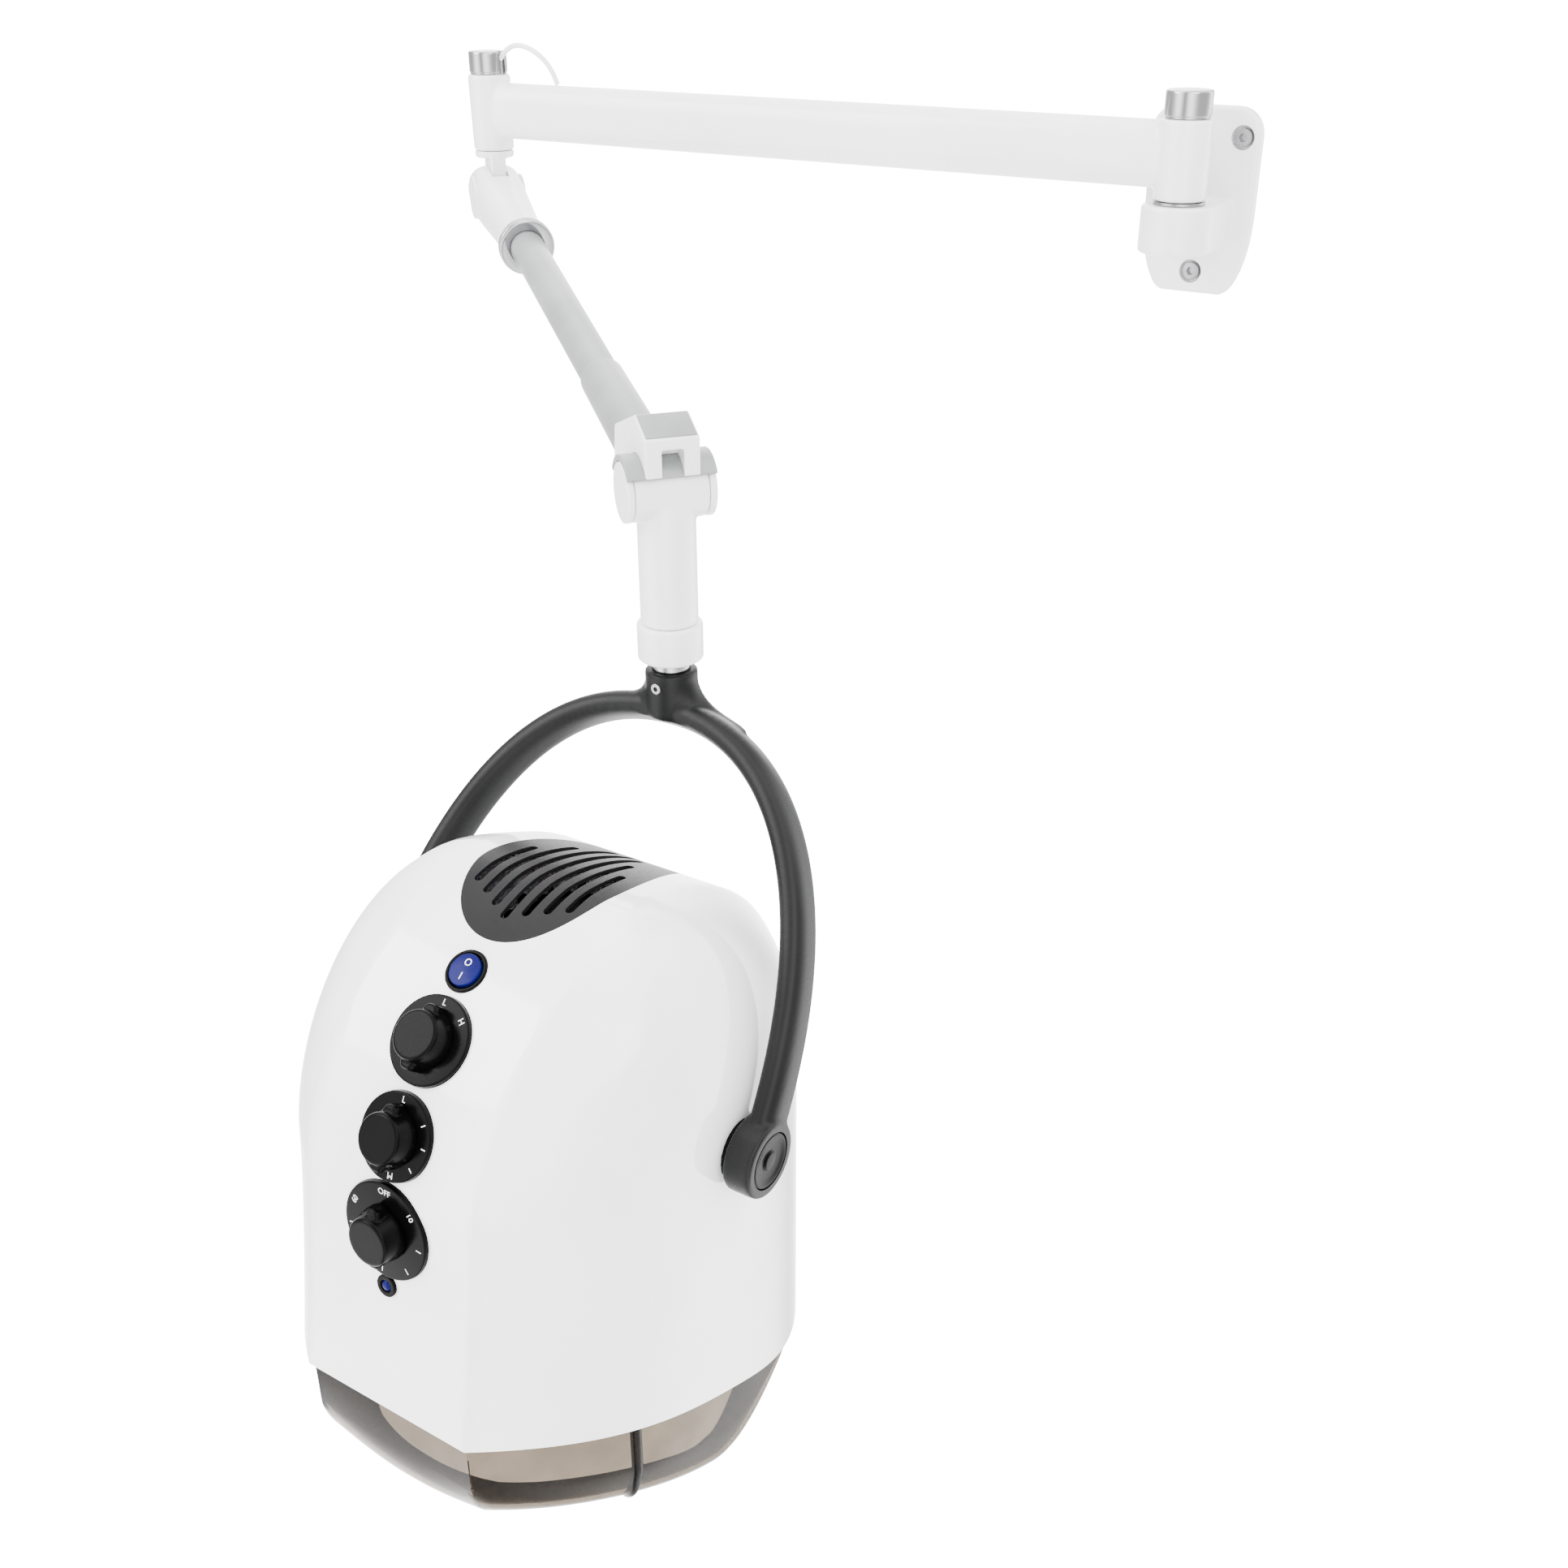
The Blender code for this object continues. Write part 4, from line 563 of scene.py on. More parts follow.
def spring_tubes():
    along = SPRING_FRAME @ LAY
    low = HOUSING_LENGTH + GAP
    tube_end = SPRING_LENGTH - BLOCK_LENGTH - LOWER_SLEEVE_LENGTH
    step, rim = RING_LENGTH / 6, 1.6 * MM
    profile = [
        (TUBE_RADIUS + GAP, low + RING_LENGTH), (RING_RADIUS - rim, low + RING_LENGTH),
        (RING_RADIUS, low + 5 * step), (RING_RADIUS, low + 3.6 * step), (RING_RADIUS - rim, low + 3 * step),
        (RING_RADIUS, low + 2.4 * step), (RING_RADIUS, low + step), (RING_RADIUS - rim, low),
        (TUBE_RADIUS + GAP, low),
    ]
    dress(turned("steel_ring", profile, along, CHROME, 0.7 * MM, closed=True), "spring_arm", "spring_ring")
    dress(disc("grey_tube", TUBE_RADIUS, low, tube_end, along, SATIN), "spring_arm", "spring_tube")
    start, stop = tube_end + GAP, tube_end + GAP + LOWER_SLEEVE_LENGTH
    dress(turned("grey_sleeve", [
        (0, stop), (LOWER_SLEEVE_RADIUS, stop), (LOWER_SLEEVE_RADIUS - 1 * MM, start), (0, start)],
        along, SATIN, 1.2 * MM), "spring_arm", "lower_sleeve")


def lower_elbow():
    """The block that holds the stem's barrel: a tall nose, a thin grey plate on its sloped top that is painted
    shade, and a slot in its face.
    """
    hinge_end = STEM_FRAME @ ACROSS
    side = SPRING_FRAME @ ACROSS
    back, foot = SPRING_LENGTH - BLOCK_LENGTH + 2 * GAP, SPRING_LENGTH - BLOCK_FOOT_CUT
    toe, nose, crest = ((SPRING_LENGTH + x, z) for x, z in BLOCK_NOSE)
    corners = [(back, -LOWER_SLEEVE_RADIUS), (toe[0], -LOWER_SLEEVE_RADIUS), toe, nose, crest,
               (back, LOWER_SLEEVE_RADIUS)]
    block = slab("block", rounded(corners, 2 * MM, closed=True), -BLOCK_HALF_WIDTH, BLOCK_HALF_WIDTH, side,
                 WHITE, 1.2 * MM)
    below = rectangle(foot, foot + 90 * MM, -OVERRUN, BLOCK_EDGE)
    slot_top = nose[1] - MOUTH_BELOW_NOSE
    mouth = rounded(rectangle(-MOUTH_HALF, MOUTH_HALF, -OVERRUN, slot_top), 2 * MM, closed=True)
    tools = [
        slab("below", below, -OVERRUN, OVERRUN, side, WHITE, 0.02 * MM),
        disc("wrap", COVER_OUTER + GAP, -OVERRUN, OVERRUN, hinge_end, WHITE, 0.05 * MM, 120),
        slab("mouth", mouth, SPRING_LENGTH, SPRING_LENGTH + OVERRUN, SPRING_FRAME @ TUBE_FACE, WHITE, 0.02 * MM),
    ]
    dress(carve(block, tools), "spring_arm", "elbow_block", slot="white_paint")
    # A thin grey plate on the block's sloped top: painted shade, standing in for the darker shading of the top
    # face.
    lift = np.array((0.25, 0.97)) * 0.8 * MM
    top = np.array([nose, crest]) + (np.array(crest) - nose) * ((0.06,), (-0.04,)) + lift
    face = np.vstack((top, (top - 3 * lift)[::-1]))
    dress(slab("block_top_painted_shade", rounded(face, 0.5 * MM, closed=True), -BLOCK_HALF_WIDTH + 1.4 * MM,
               BLOCK_HALF_WIDTH - 1.4 * MM, side, SATIN, 0.4 * MM), "spring_arm", slot="satin_grey")
    angle = np.radians(np.linspace(COVER_FROM, COVER_TO, 90))
    half = BARREL_HALF + GAP + CHEEK_THICK
    edge = rounded(rectangle(COVER_INNER, COVER_OUTER, -half, half), 1.2 * MM, closed=True)
    rings = swept(edge, angle).transpose(1, 0, 2)
    dress(stacked("cover", rings, hinge_end, SATIN), "spring_arm", "elbow_cover")
    for node, hand in (("elbow_cheek_left", 1), ("elbow_cheek_right", -1)):
        low, high = sorted((hand * (BARREL_HALF + GAP), hand * half))
        dress(disc(f"{node}_disc", BARREL_RADIUS, low, high, hinge_end, WHITE, 1.5 * MM), "spring_arm", node)


# Stem and yoke
STEM_RADIUS, STEM_LENGTH, COLLAR_RADIUS, COLLAR_LENGTH = 20.5 * MM, 96 * MM, 23.5 * MM, 27 * MM
STUB_RADIUS, STUB_SHOWN = 14 * MM, 8 * MM
SOCKET_RADIUS, SOCKET_LENGTH = 19 * MM, 44 * MM
YOKE_OUTER, YOKE_INNER, YOKE_BREADTH, YOKE_SQUARENESS = 183 * MM, 161.5 * MM, 17 * MM, 2.25
YOKE_SECTION = 2.6  # squareness of the arch's section
HUB_RADIUS, HUB_CAP_RADIUS, HUB_CAP_THICK = 27 * MM, 20 * MM, 2.7 * MM
SHOULDER_FLARE, SHOULDER_FADE = 46 * MM, 14 * MM
COLLAR_TOP = -STEM_LENGTH - GAP
COLLAR_LOW = COLLAR_TOP - COLLAR_LENGTH
SOCKET_TOP = COLLAR_LOW - GAP - STUB_SHOWN
SOCKET_LOW = SOCKET_TOP - SOCKET_LENGTH


def stem():
    tube = disc("tube", STEM_RADIUS, -STEM_LENGTH, 0, STEM_FRAME, WHITE)
    barrel = disc("barrel", BARREL_RADIUS, -BARREL_HALF, BARREL_HALF, STEM_FRAME @ ACROSS, WHITE, 1.5 * MM)
    dress(casting("stem_casting", [tube, barrel], 1.0 * MM, WHITE, 5), "stem", "stem_tube")
    dress(disc("collar", COLLAR_RADIUS, COLLAR_LOW, COLLAR_TOP, STEM_FRAME, WHITE, 2.5 * MM),
          "stem", "stem_collar")


def arch_rings(count=48, steps=140):
    """Ovals carried along a superellipse arch, in the plane that leans from the stem to the hubs."""
    leg, half_thick = (YOKE_OUTER + YOKE_INNER) / 2, (YOKE_OUTER - YOKE_INNER) / 2 - 1 * MM
    top = np.array((0, 0, SOCKET_LOW + half_thick))
    hub = np.array(HUB - STEM)
    rise = top - hub
    normal = np.cross(rise / np.linalg.norm(rise), (1, 0, 0))
    angle = np.linspace(0, math.pi, steps)
    across = np.sign(np.cos(angle)) * np.abs(np.cos(angle)) ** (2 / YOKE_SQUARENESS) * leg
    upward = np.abs(np.sin(angle)) ** (2 / YOKE_SQUARENESS)
    path = hub + rise * upward[:, None] + np.outer(across, (1, 0, 0))
    ahead = np.gradient(path, axis=0)
    outward = np.cross(ahead / np.linalg.norm(ahead, axis=1, keepdims=True), normal)
    section = oval(YOKE_BREADTH, half_thick, YOKE_SECTION, count)
    return (path[:, None] + normal[None, None] * section[None, :, :1]
            + outward[:, None] * section[None, :, 1:])


def shoulder_rings(count=48):
    """Ovals from the socket down into the arch, whose width flares as an exponential that fades out upwards."""
    low, reach = SOCKET_LOW + 8 * MM, SOCKET_LENGTH - 10 * MM
    rings = []
    for height in np.linspace(0, reach, 26):
        flare = SHOULDER_FLARE * math.exp(-height / SHOULDER_FADE) * (1 - height / reach)
        section = oval(SOCKET_RADIUS - 1 * MM + flare, SOCKET_RADIUS * 0.84, 2.2, count)
        rings.append(np.column_stack((section, np.full(count, low + height))))
    return rings


def yoke():
    solids = [stacked("arch", arch_rings(), YOKE_FRAME, DARK),
              disc("socket", SOCKET_RADIUS, SOCKET_LOW + 9 * MM, SOCKET_TOP, YOKE_FRAME, DARK)]
    for side in (1, -1):
        low, high = sorted((side * YOKE_INNER, side * YOKE_OUTER))
        solids.append(disc("hub", HUB_RADIUS, low, high, HOOD_FRAME @ LAY, DARK, 1.5 * MM))
    solids.append(stacked("shoulders", shoulder_rings(), YOKE_FRAME, DARK))
    frame_piece = casting("yoke_casting", solids, 1.5 * MM, DARK, 10)
    recesses = []
    for side in (1, -1):
        low, high = sorted((side * (YOKE_OUTER - 3 * MM), side * (YOKE_OUTER + 5 * MM)))
        recesses.append(disc("recess", HUB_CAP_RADIUS + GAP, low, high, HOOD_FRAME @ LAY, DARK, 0.05 * MM))
    dress(carve(frame_piece, recesses), "yoke", "yoke")
    for node, turn in (("hub_cap_right", LAY), ("hub_cap_left", Matrix.Rotation(-math.pi / 2, 4, "Y"))):
        face, low = YOKE_OUTER, YOKE_OUTER - HUB_CAP_THICK
        profile = [(0, face), (6 * MM, face), (7.5 * MM, face - 1.6 * MM), (14 * MM, face - 1 * MM),
                   (18.5 * MM, face), (HUB_CAP_RADIUS, face - 1 * MM), (HUB_CAP_RADIUS, low), (0, low)]
        dress(turned(f"{node}_disc", profile, HOOD_FRAME @ turn, BLACK, 1.2 * MM), "yoke", node)
    stub_top = COLLAR_LOW - GAP
    dress(disc("chrome_stub", STUB_RADIUS, SOCKET_TOP + GAP, stub_top, YOKE_FRAME, CHROME, 0.6 * MM),
          "yoke", "swivel_stub")
    place = YOKE_FRAME @ Matrix.Translation((0, 0, SOCKET_TOP - 10 * MM)) @ UPRIGHT
    screw = disc("set_screw", 4 * MM, 9.6 * MM, SOCKET_RADIUS + 0.8 * MM, place, STEEL, 0.5 * MM)
    carve(screw, [disc("hex", 2 * MM, SOCKET_RADIUS - 2 * MM, SOCKET_RADIUS + 5 * MM, place, STEEL, 0, 6)])
    dress(screw, "yoke", "yoke_set_screw")


# Hood
HOOD_HALF_WIDTH, BAND_HALF_WIDTH = 157 * MM, 71 * MM
HOOD_TOP, HOOD_FRONT, HOOD_REAR = 160 * MM, 169 * MM, 182 * MM
SHELL_EDGE_DROP, SHELL_FRONT_FLARE, SHELL_REAR_FALL, SHELL_WALL = 153 * MM, 26 * MM, 102 * MM, 3 * MM
FRONT_POWER, REAR_POWER = 0.3, 0.38
SHELL_FADE, BOWL_FADE = 0.1, 0.12  # share of the rise in which an inset fades out at the crown
SIDE_STEPS, BAND_STEPS = 34, 12
BOWL_INSET, BOWL_TOP, BOWL_FLANGE_DROP = 24 * MM, 90 * MM, 98 * MM
VISOR_WALL, VISOR_TUCK, VISOR_LIP, VISOR_RIB_RADIUS = 2.5 * MM, 10 * MM, 30 * MM, 4.2 * MM
VISOR_DEPTH, VISOR_REAR_DEPTH, VISOR_BEND, VISOR_BEND_RISE = 82 * MM, 14 * MM, 16 * MM, 2.6
VISOR_SOFTNESS, VISOR_SQUARENESS = 0.8, 2.3  # share of the oval at the foot, and its power


def front_reach(z):
    """Front of the hood: 1 less a power of the height, itself raised to a power; below the hubs, a power flare."""
    z = np.asarray(z, float)
    above = HOOD_FRONT * np.clip(1 - np.abs(np.clip(z, 0, None) / HOOD_TOP) ** 1.5, 0, 1) ** 0.6
    return np.where(z > 0, above, HOOD_FRONT + SHELL_FRONT_FLARE * (np.clip(-z, 0, None) / SHELL_EDGE_DROP) ** 1.2)


def rear_reach(z):
    """Rear of the hood: 1 less the square of the height, raised to a power; upright below the hubs."""
    return HOOD_REAR * np.clip(1 - (np.clip(z, 0, None) / HOOD_TOP) ** 2, 0, 1) ** 0.6


def half_width(z):
    """The band's half width and a swell: the root of 1 less a power of the height; upright below the hubs."""
    swell = np.clip(1 - (np.clip(z, 0, None) / HOOD_TOP) ** 2.2, 0, 1) ** 0.5
    return BAND_HALF_WIDTH + (HOOD_HALF_WIDTH - BAND_HALF_WIDTH) * swell


def hood_outline(z, inset=0.0):
    """The plan outline at a height: a flat band in front and behind, its ends falling away as a power curve.

    The points crowd towards the sides by a cube.
    """
    share = 1 - (1 - np.linspace(0, 1, SIDE_STEPS)) ** 3
    flat = BAND_HALF_WIDTH - inset / 2
    width = np.maximum(half_width(z) - inset, flat)
    band = np.linspace(0, flat, BAND_STEPS, endpoint=False)
    x = np.concatenate((band, flat + (width - flat) * share))
    ones = np.ones(BAND_STEPS)
    front = np.maximum(front_reach(z) - inset, 0) * np.concatenate((ones, (1 - share) ** FRONT_POWER))
    rear = np.maximum(rear_reach(z) - inset, 0) * np.concatenate((ones, (1 - share) ** REAR_POWER))
    return (np.concatenate((x, x[-2::-1], -x[1:], -x[-2:0:-1])),
            np.concatenate((-front, rear[-2::-1], rear[1:], -front[-2:0:-1])))


def ring_at(z, inset=0.0, heights=None):
    """The plan outline at a height, drawn in by an inset, on level or given heights."""
    x, y = hood_outline(z, inset)
    return np.column_stack((x, y, np.broadcast_to(z if heights is None else heights, x.shape)))


def edge_heights(offset):
    """The shell's lower edge, which falls in a soft S from the front to the rear."""
    y = hood_outline(-SHELL_EDGE_DROP)[1]
    return -SHELL_EDGE_DROP + offset - SHELL_REAR_FALL * ease(1.12 * (y - y.min()) / (y.max() - y.min()))


def foot_heights():
    """The visor's lower rim, deep in front and drawn up to a narrow rim behind."""
    y = hood_outline(-SHELL_EDGE_DROP)[1]
    rear = ease((y + VISOR_BEND) / (HOOD_REAR * 0.6))
    return edge_heights(0) - VISOR_DEPTH + (VISOR_DEPTH - VISOR_REAR_DEPTH) * rear


def shell_rings(inset, steps=70):
    """Rings from the crown, where they close to a line and the inset fades out evenly, down to the edge."""
    crown = HOOD_TOP * np.sin(np.linspace(math.pi / 2, 0, steps, endpoint=False))
    scale = (HOOD_TOP - inset) / HOOD_TOP
    rings = []
    for z in crown:
        ring = ring_at(z, inset * min(1.0, (HOOD_TOP - z) / (SHELL_FADE * HOOD_TOP)))
        ring[:, 2] *= scale
        rings.append(ring)
    edge = edge_heights(0)
    for share in np.linspace(0, 1, 30):
        ring = ring_at(-SHELL_EDGE_DROP * share, inset)
        ring[:, 2] = edge * share
        rings.append(ring)
    return np.array(rings)


def shell_object(name, material):
    """The outer wall down to the edge, round it, and the inner wall up again."""
    outer, inner = shell_rings(0), shell_rings(SHELL_WALL)
    mid = (outer[-1] + inner[-1]) / 2
    mid[:, 2] -= 0.8 * MM
    rings = np.concatenate((outer, mid[None], inner[::-1]))
    faces = grid_faces(len(rings), rings.shape[1])
    return mesh_object(name, moved(rings, HOOD_FRAME), faces, material, 50.0)


def panel_frame(z):
    """A frame on the panel's middle line: +Z out of the panel, +Y up along it."""
    step = 0.5 * MM
    up = Vector((0, float(front_reach(z - step) - front_reach(z + step)), 2 * step)).normalized()
    out = Vector((1, 0, 0)).cross(up)
    turn = Matrix((Vector((1, 0, 0)), up, out)).transposed().to_4x4()
    return HOOD_FRAME @ Matrix.Translation((0, -float(front_reach(z)), z)) @ turn


VENT_FRONT, VENT_REAR, VENT_HALF_WIDTH, VENT_LEAN = 57 * MM, 158 * MM, 54 * MM, 0.32
VENT_SLOTS, SLOT_HALF, SLOT_STEPS, SLOT_DRAW = 7, 3.2 * MM, 18, 0.35


def vent_outline(margin, count=120):
    """An egg in plan: a sine for the width, leaning wider in front."""
    angle = full_turn(count)
    half, middle = (VENT_FRONT + VENT_REAR) / 2 - margin, (VENT_REAR - VENT_FRONT) / 2
    x = (VENT_HALF_WIDTH - margin) * np.sin(angle) * (1 + VENT_LEAN * np.cos(angle))
    return np.column_stack((x, middle - half * np.cos(angle)))


def vent_tool(name, outline, material, edge):
    """An outline in plan raised through the crown."""
    return slab(name, outline, 0.2 * HOOD_TOP, 1.3 * HOOD_TOP, HOOD_FRAME, material, edge)


CONTROLS = {
    "heat": (30 * MM, 97 * MM), "speed": (29 * MM, 46 * MM), "timer": (35 * MM, -17 * MM),
}
SWITCH_RADIUS, SWITCH_HEIGHT, SWITCH_BEZEL = 12.5 * MM, 129 * MM, 2.5 * MM
LAMP_RADIUS, LAMP_HEIGHT = 4 * MM, -59 * MM
DIAL_BACK, DIAL_PROUD = 6 * MM, 3 * MM


def hood_shell():
    """The shell with its cut-outs, and a grille of the same form.

    Each slot is a bar with half-round ends, drawn to the middle by the square of the distance along.
    """
    shell = shell_object("shell", GLOSS)
    tools = [vent_tool("vent", vent_outline(0), GLOSS, 0.01 * MM)]
    holes = [(radius, height, -30 * MM, 40 * MM) for radius, height in CONTROLS.values()]
    holes += [(SWITCH_RADIUS + SWITCH_BEZEL, SWITCH_HEIGHT, -24 * MM, 24 * MM),
              (LAMP_RADIUS, LAMP_HEIGHT, -24 * MM, 24 * MM)]
    for radius, height, low, high in holes:
        tools.append(disc("hole", radius + GAP, low, high, panel_frame(height), GLOSS, 0.05 * MM))
    dress(carve(shell, tools, sharp=50.0), "hood", "hood_shell")
    grille = shell_object("grille", GRILLE)
    carve(grille, [vent_tool("egg", vent_outline(GAP), GRILLE, 0.01 * MM)], "INTERSECT")
    slots = []
    pitch = 2 * (VENT_HALF_WIDTH - 8 * MM) / VENT_SLOTS
    for side in np.arange(VENT_SLOTS) - (VENT_SLOTS - 1) / 2:
        reach = 1 - 0.16 * abs(side)
        front, back = -VENT_FRONT * 0.72 * reach, (VENT_REAR - 34 * MM) * reach - 8 * MM * abs(side)
        half, turn = SLOT_HALF, np.linspace(-math.pi / 2, math.pi / 2, 12)
        straight = np.linspace(front + half, back - half, SLOT_STEPS)
        edge = np.full(SLOT_STEPS, half)
        along = np.concatenate((front + half - half * np.cos(turn), straight,
                                back - half + half * np.cos(turn), straight[::-1]))
        aside = np.concatenate((half * np.sin(turn), edge, -half * np.sin(turn), -edge))
        drawn = side * pitch * (1 - SLOT_DRAW * (along / VENT_REAR) ** 2)
        slots.append(vent_tool("slot", np.column_stack((aside + drawn, along)), GRILLE, 0.005 * MM))
    dress(carve(grille, slots), "hood", "vent_grille")


def inner_bowl():
    """A liner parallel to the shell, its heights following a sine, with a flange out to the shell's wall."""
    def wall(inset, flange, top):
        seat = -BOWL_FLANGE_DROP + SHELL_WALL
        rings = [ring_at(seat, SHELL_WALL + 2 * GAP, flange), ring_at(seat, inset, flange)]
        rings += [ring_at(-BOWL_FLANGE_DROP * s, inset, -BOWL_FLANGE_DROP * s) for s in np.linspace(0.9, 0.1, 8)]
        for rise in np.sin(np.linspace(0, math.pi / 2, 40)):
            fade = min(1.0, (1 - rise) / BOWL_FADE)
            rings.append(ring_at(rise * HOOD_TOP, inset * fade, rise * top))
        return rings
    outer = wall(BOWL_INSET, -BOWL_FLANGE_DROP + SHELL_WALL, BOWL_TOP)
    inner = wall(BOWL_INSET + SHELL_WALL, -BOWL_FLANGE_DROP, BOWL_TOP - SHELL_WALL)
    rings = np.array(outer[::-1] + inner)
    faces = grid_faces(len(rings), rings.shape[1])
    dress(mesh_object("liner", moved(rings, HOOD_FRAME), faces, LINER, 50.0), "hood", "inner_bowl")


def visor_sheet(inset, lift):
    """One face of the skirt: a wall that bends in by a quarter ellipse to its foot, then a flat lip.

    The plan corners soften with the bend, by mixing the creased outline with an oval of the same reach.
    """
    tuck, edge = SHELL_WALL + 2 * GAP + inset, -SHELL_EDGE_DROP
    top, foot = edge_heights(0), foot_heights() + lift
    reach = (top - foot_heights()) / VISOR_DEPTH
    rings = [ring_at(edge + VISOR_TUCK, tuck, edge_heights(VISOR_TUCK)), ring_at(edge, tuck, top)]
    for turn in np.linspace(0, math.pi / 2, 20):
        height = foot + VISOR_BEND_RISE * VISOR_BEND * reach * (1 - math.sin(turn))
        ring = ring_at(edge, tuck + VISOR_BEND * (1 - math.cos(turn)), height)
        rings.append(soften(ring, 2 * VISOR_SOFTNESS * turn / math.pi))
    rings.append(soften(ring_at(edge, tuck + VISOR_LIP - inset, foot), VISOR_SOFTNESS))
    return rings


def soften(ring, share):
    """Mix an outline with a superellipse of the same half width and reach."""
    x, y = ring[:, 0], ring[:, 1]
    angle = np.arctan2(y / np.abs(y).max(), x / np.abs(x).max())
    reach = np.where(y < 0, -y.min(), y.max())
    smooth = ring.copy()
    power = 2 / VISOR_SQUARENESS
    smooth[:, 0] = x.max() * np.sign(np.cos(angle)) * np.abs(np.cos(angle)) ** power
    smooth[:, 1] = reach * np.sign(np.sin(angle)) * np.abs(np.sin(angle)) ** power
    mixed = ring + (smooth - ring) * share
    mixed[:, 2] = ring[:, 2]
    return mixed


def visor():
    """The skirt in a front and a rear half, with a rib on each side."""
    rings = np.array(visor_sheet(0, 0) + visor_sheet(VISOR_WALL, VISOR_WALL)[::-1])
    points = rings.shape[1]
    split = BAND_STEPS + 16  # columns from the middle of the front to the split
    front = rings[:, np.arange(-split, split + 1) % points].transpose(1, 0, 2)
    rear = rings[:, np.arange(split, points - split + 1) % points].transpose(1, 0, 2)
    dress(stacked("front_skirt", front + (0, -GAP / 4, 0), HOOD_FRAME, SMOKE), "hood", "front_visor")
    dress(stacked("rear_skirt", rear + (0, GAP, 0), HOOD_FRAME, SMOKE), "hood", "rear_visor")
    outer = rings[1:22]
    for side, column in (("right", split), ("left", -split)):
        path = moved(outer[:, column], HOOD_FRAME)
        inward = moved(outer[:, column] * (0.985, 0.985, 1), HOOD_FRAME)
        rib = tube_along(f"visor_rib_{side}", path * 0.2 + inward * 0.8, VISOR_RIB_RADIUS, SMOKE)
        dress(rib, "hood", slot="smoked_plastic")


OFF_PATH = (0.31, 0.22, 0.92)  # a direction that no rib runs along


def tube_along(name, path, radius, material, count=20):
    """Circles square to a path, closed by flat ends."""
    ahead = np.gradient(path, axis=0)
    ahead /= np.linalg.norm(ahead, axis=1, keepdims=True)
    side = np.cross(ahead, OFF_PATH)
    side /= np.linalg.norm(side, axis=1, keepdims=True)
    up = np.cross(ahead, side)
    angle = full_turn(count)
    circle = radius * (side[:, None] * np.cos(angle)[None, :, None] + up[:, None] * np.sin(angle)[None, :, None])
    return stacked(name, path[:, None] + circle, Matrix(), material)


# Controls
KNOB_RADIUS, KNOB_HEIGHT, KNOB_WING, KNOB_WING_WIDTH = 19 * MM, 16 * MM, 22 * MM, 14 * MM
PRINT_THICK, MARK_SIZE, MARK_PLACE = 0.12 * MM, 6 * MM, 0.84
TICK_FROM, TICK_TO, TICK_HALF = 0.78, 0.9, 0.35 * MM
# Angle on the dial and mark; the angles of the ticks
LABELS = {
    "heat": ((90, "L"), (45, "H")),
    "speed": ((90, "L"), (-80, "M")),
    "timer": ((90, "OFF"), (42, "10"), (152, "60")),
}
TICKS = {"heat": (), "speed": (35, 0, -40, 180), "timer": (-5, -50, -95, -140, 190)}


def printed(text, size, place, name):
    """A short mark made a thin mesh and laid on a face."""
    curve = bpy.data.curves.new(name, "FONT")
    curve.body = text
    curve.size = size
    curve.extrude = PRINT_THICK / 2
    curve.align_x = "CENTER"
    curve.align_y = "CENTER"
    item = placed(name, curve)
    mesh = baked(item)
    bpy.data.objects.remove(item)
    mesh.transform(place)
    piece = placed(name, mesh)
    tidy(piece, MARKS, 20.0)
    return piece


def dial(name, radius, height):
    """A plate, a knob with a wing, and print set out by the cosine and sine of each mark's angle."""
    place = panel_frame(height)
    face = disc(f"{name}_plate", radius, -DIAL_BACK, DIAL_PROUD, place, BLACK, 1.2 * MM, 128)
    dress(face, "hood", f"{name}_dial")
    top = DIAL_PROUD + PRINT_THICK / 2
    marks = []
    for angle, text in LABELS[name]:
        a = math.radians(angle)
        out = radius * MARK_PLACE
        spot = Matrix.Translation((out * math.cos(a), out * math.sin(a), top))
        marks.append(printed(text, MARK_SIZE, place @ spot @ Matrix.Rotation(a - math.pi / 2, 4, "Z"), "mark"))
    for angle in np.radians(TICKS[name]):
        turn = Matrix.Rotation(angle, 4, "Z")
        box = rectangle(radius * TICK_FROM, radius * TICK_TO, -TICK_HALF, TICK_HALF)
        marks.append(slab("tick", box, top - PRINT_THICK / 2, top + PRINT_THICK / 2, place @ turn, MARKS,
                          0.01 * MM))
    dress(joined(marks, f"{name}_print"), "hood", slot="gloss_white")
    base = place @ Matrix.Translation((0, 0, DIAL_PROUD + GAP))
    body = turned("body", [(0, KNOB_HEIGHT), (KNOB_RADIUS * 0.86, KNOB_HEIGHT), (KNOB_RADIUS, 2 * MM),
                           (KNOB_RADIUS, 0), (0, 0)], base, BLACK, 2 * MM)
    wing = slab("wing", oval(KNOB_WING_WIDTH / 2, KNOB_WING, 3.5, 80), 0.6 * MM, KNOB_HEIGHT * 0.72, base, BLACK,
                2 * MM)
    knob = casting(f"{name}_grip", [body, wing], 0.6 * MM, BLACK, 4)
    dress(knob, f"{name}_knob", f"{name}_knob")


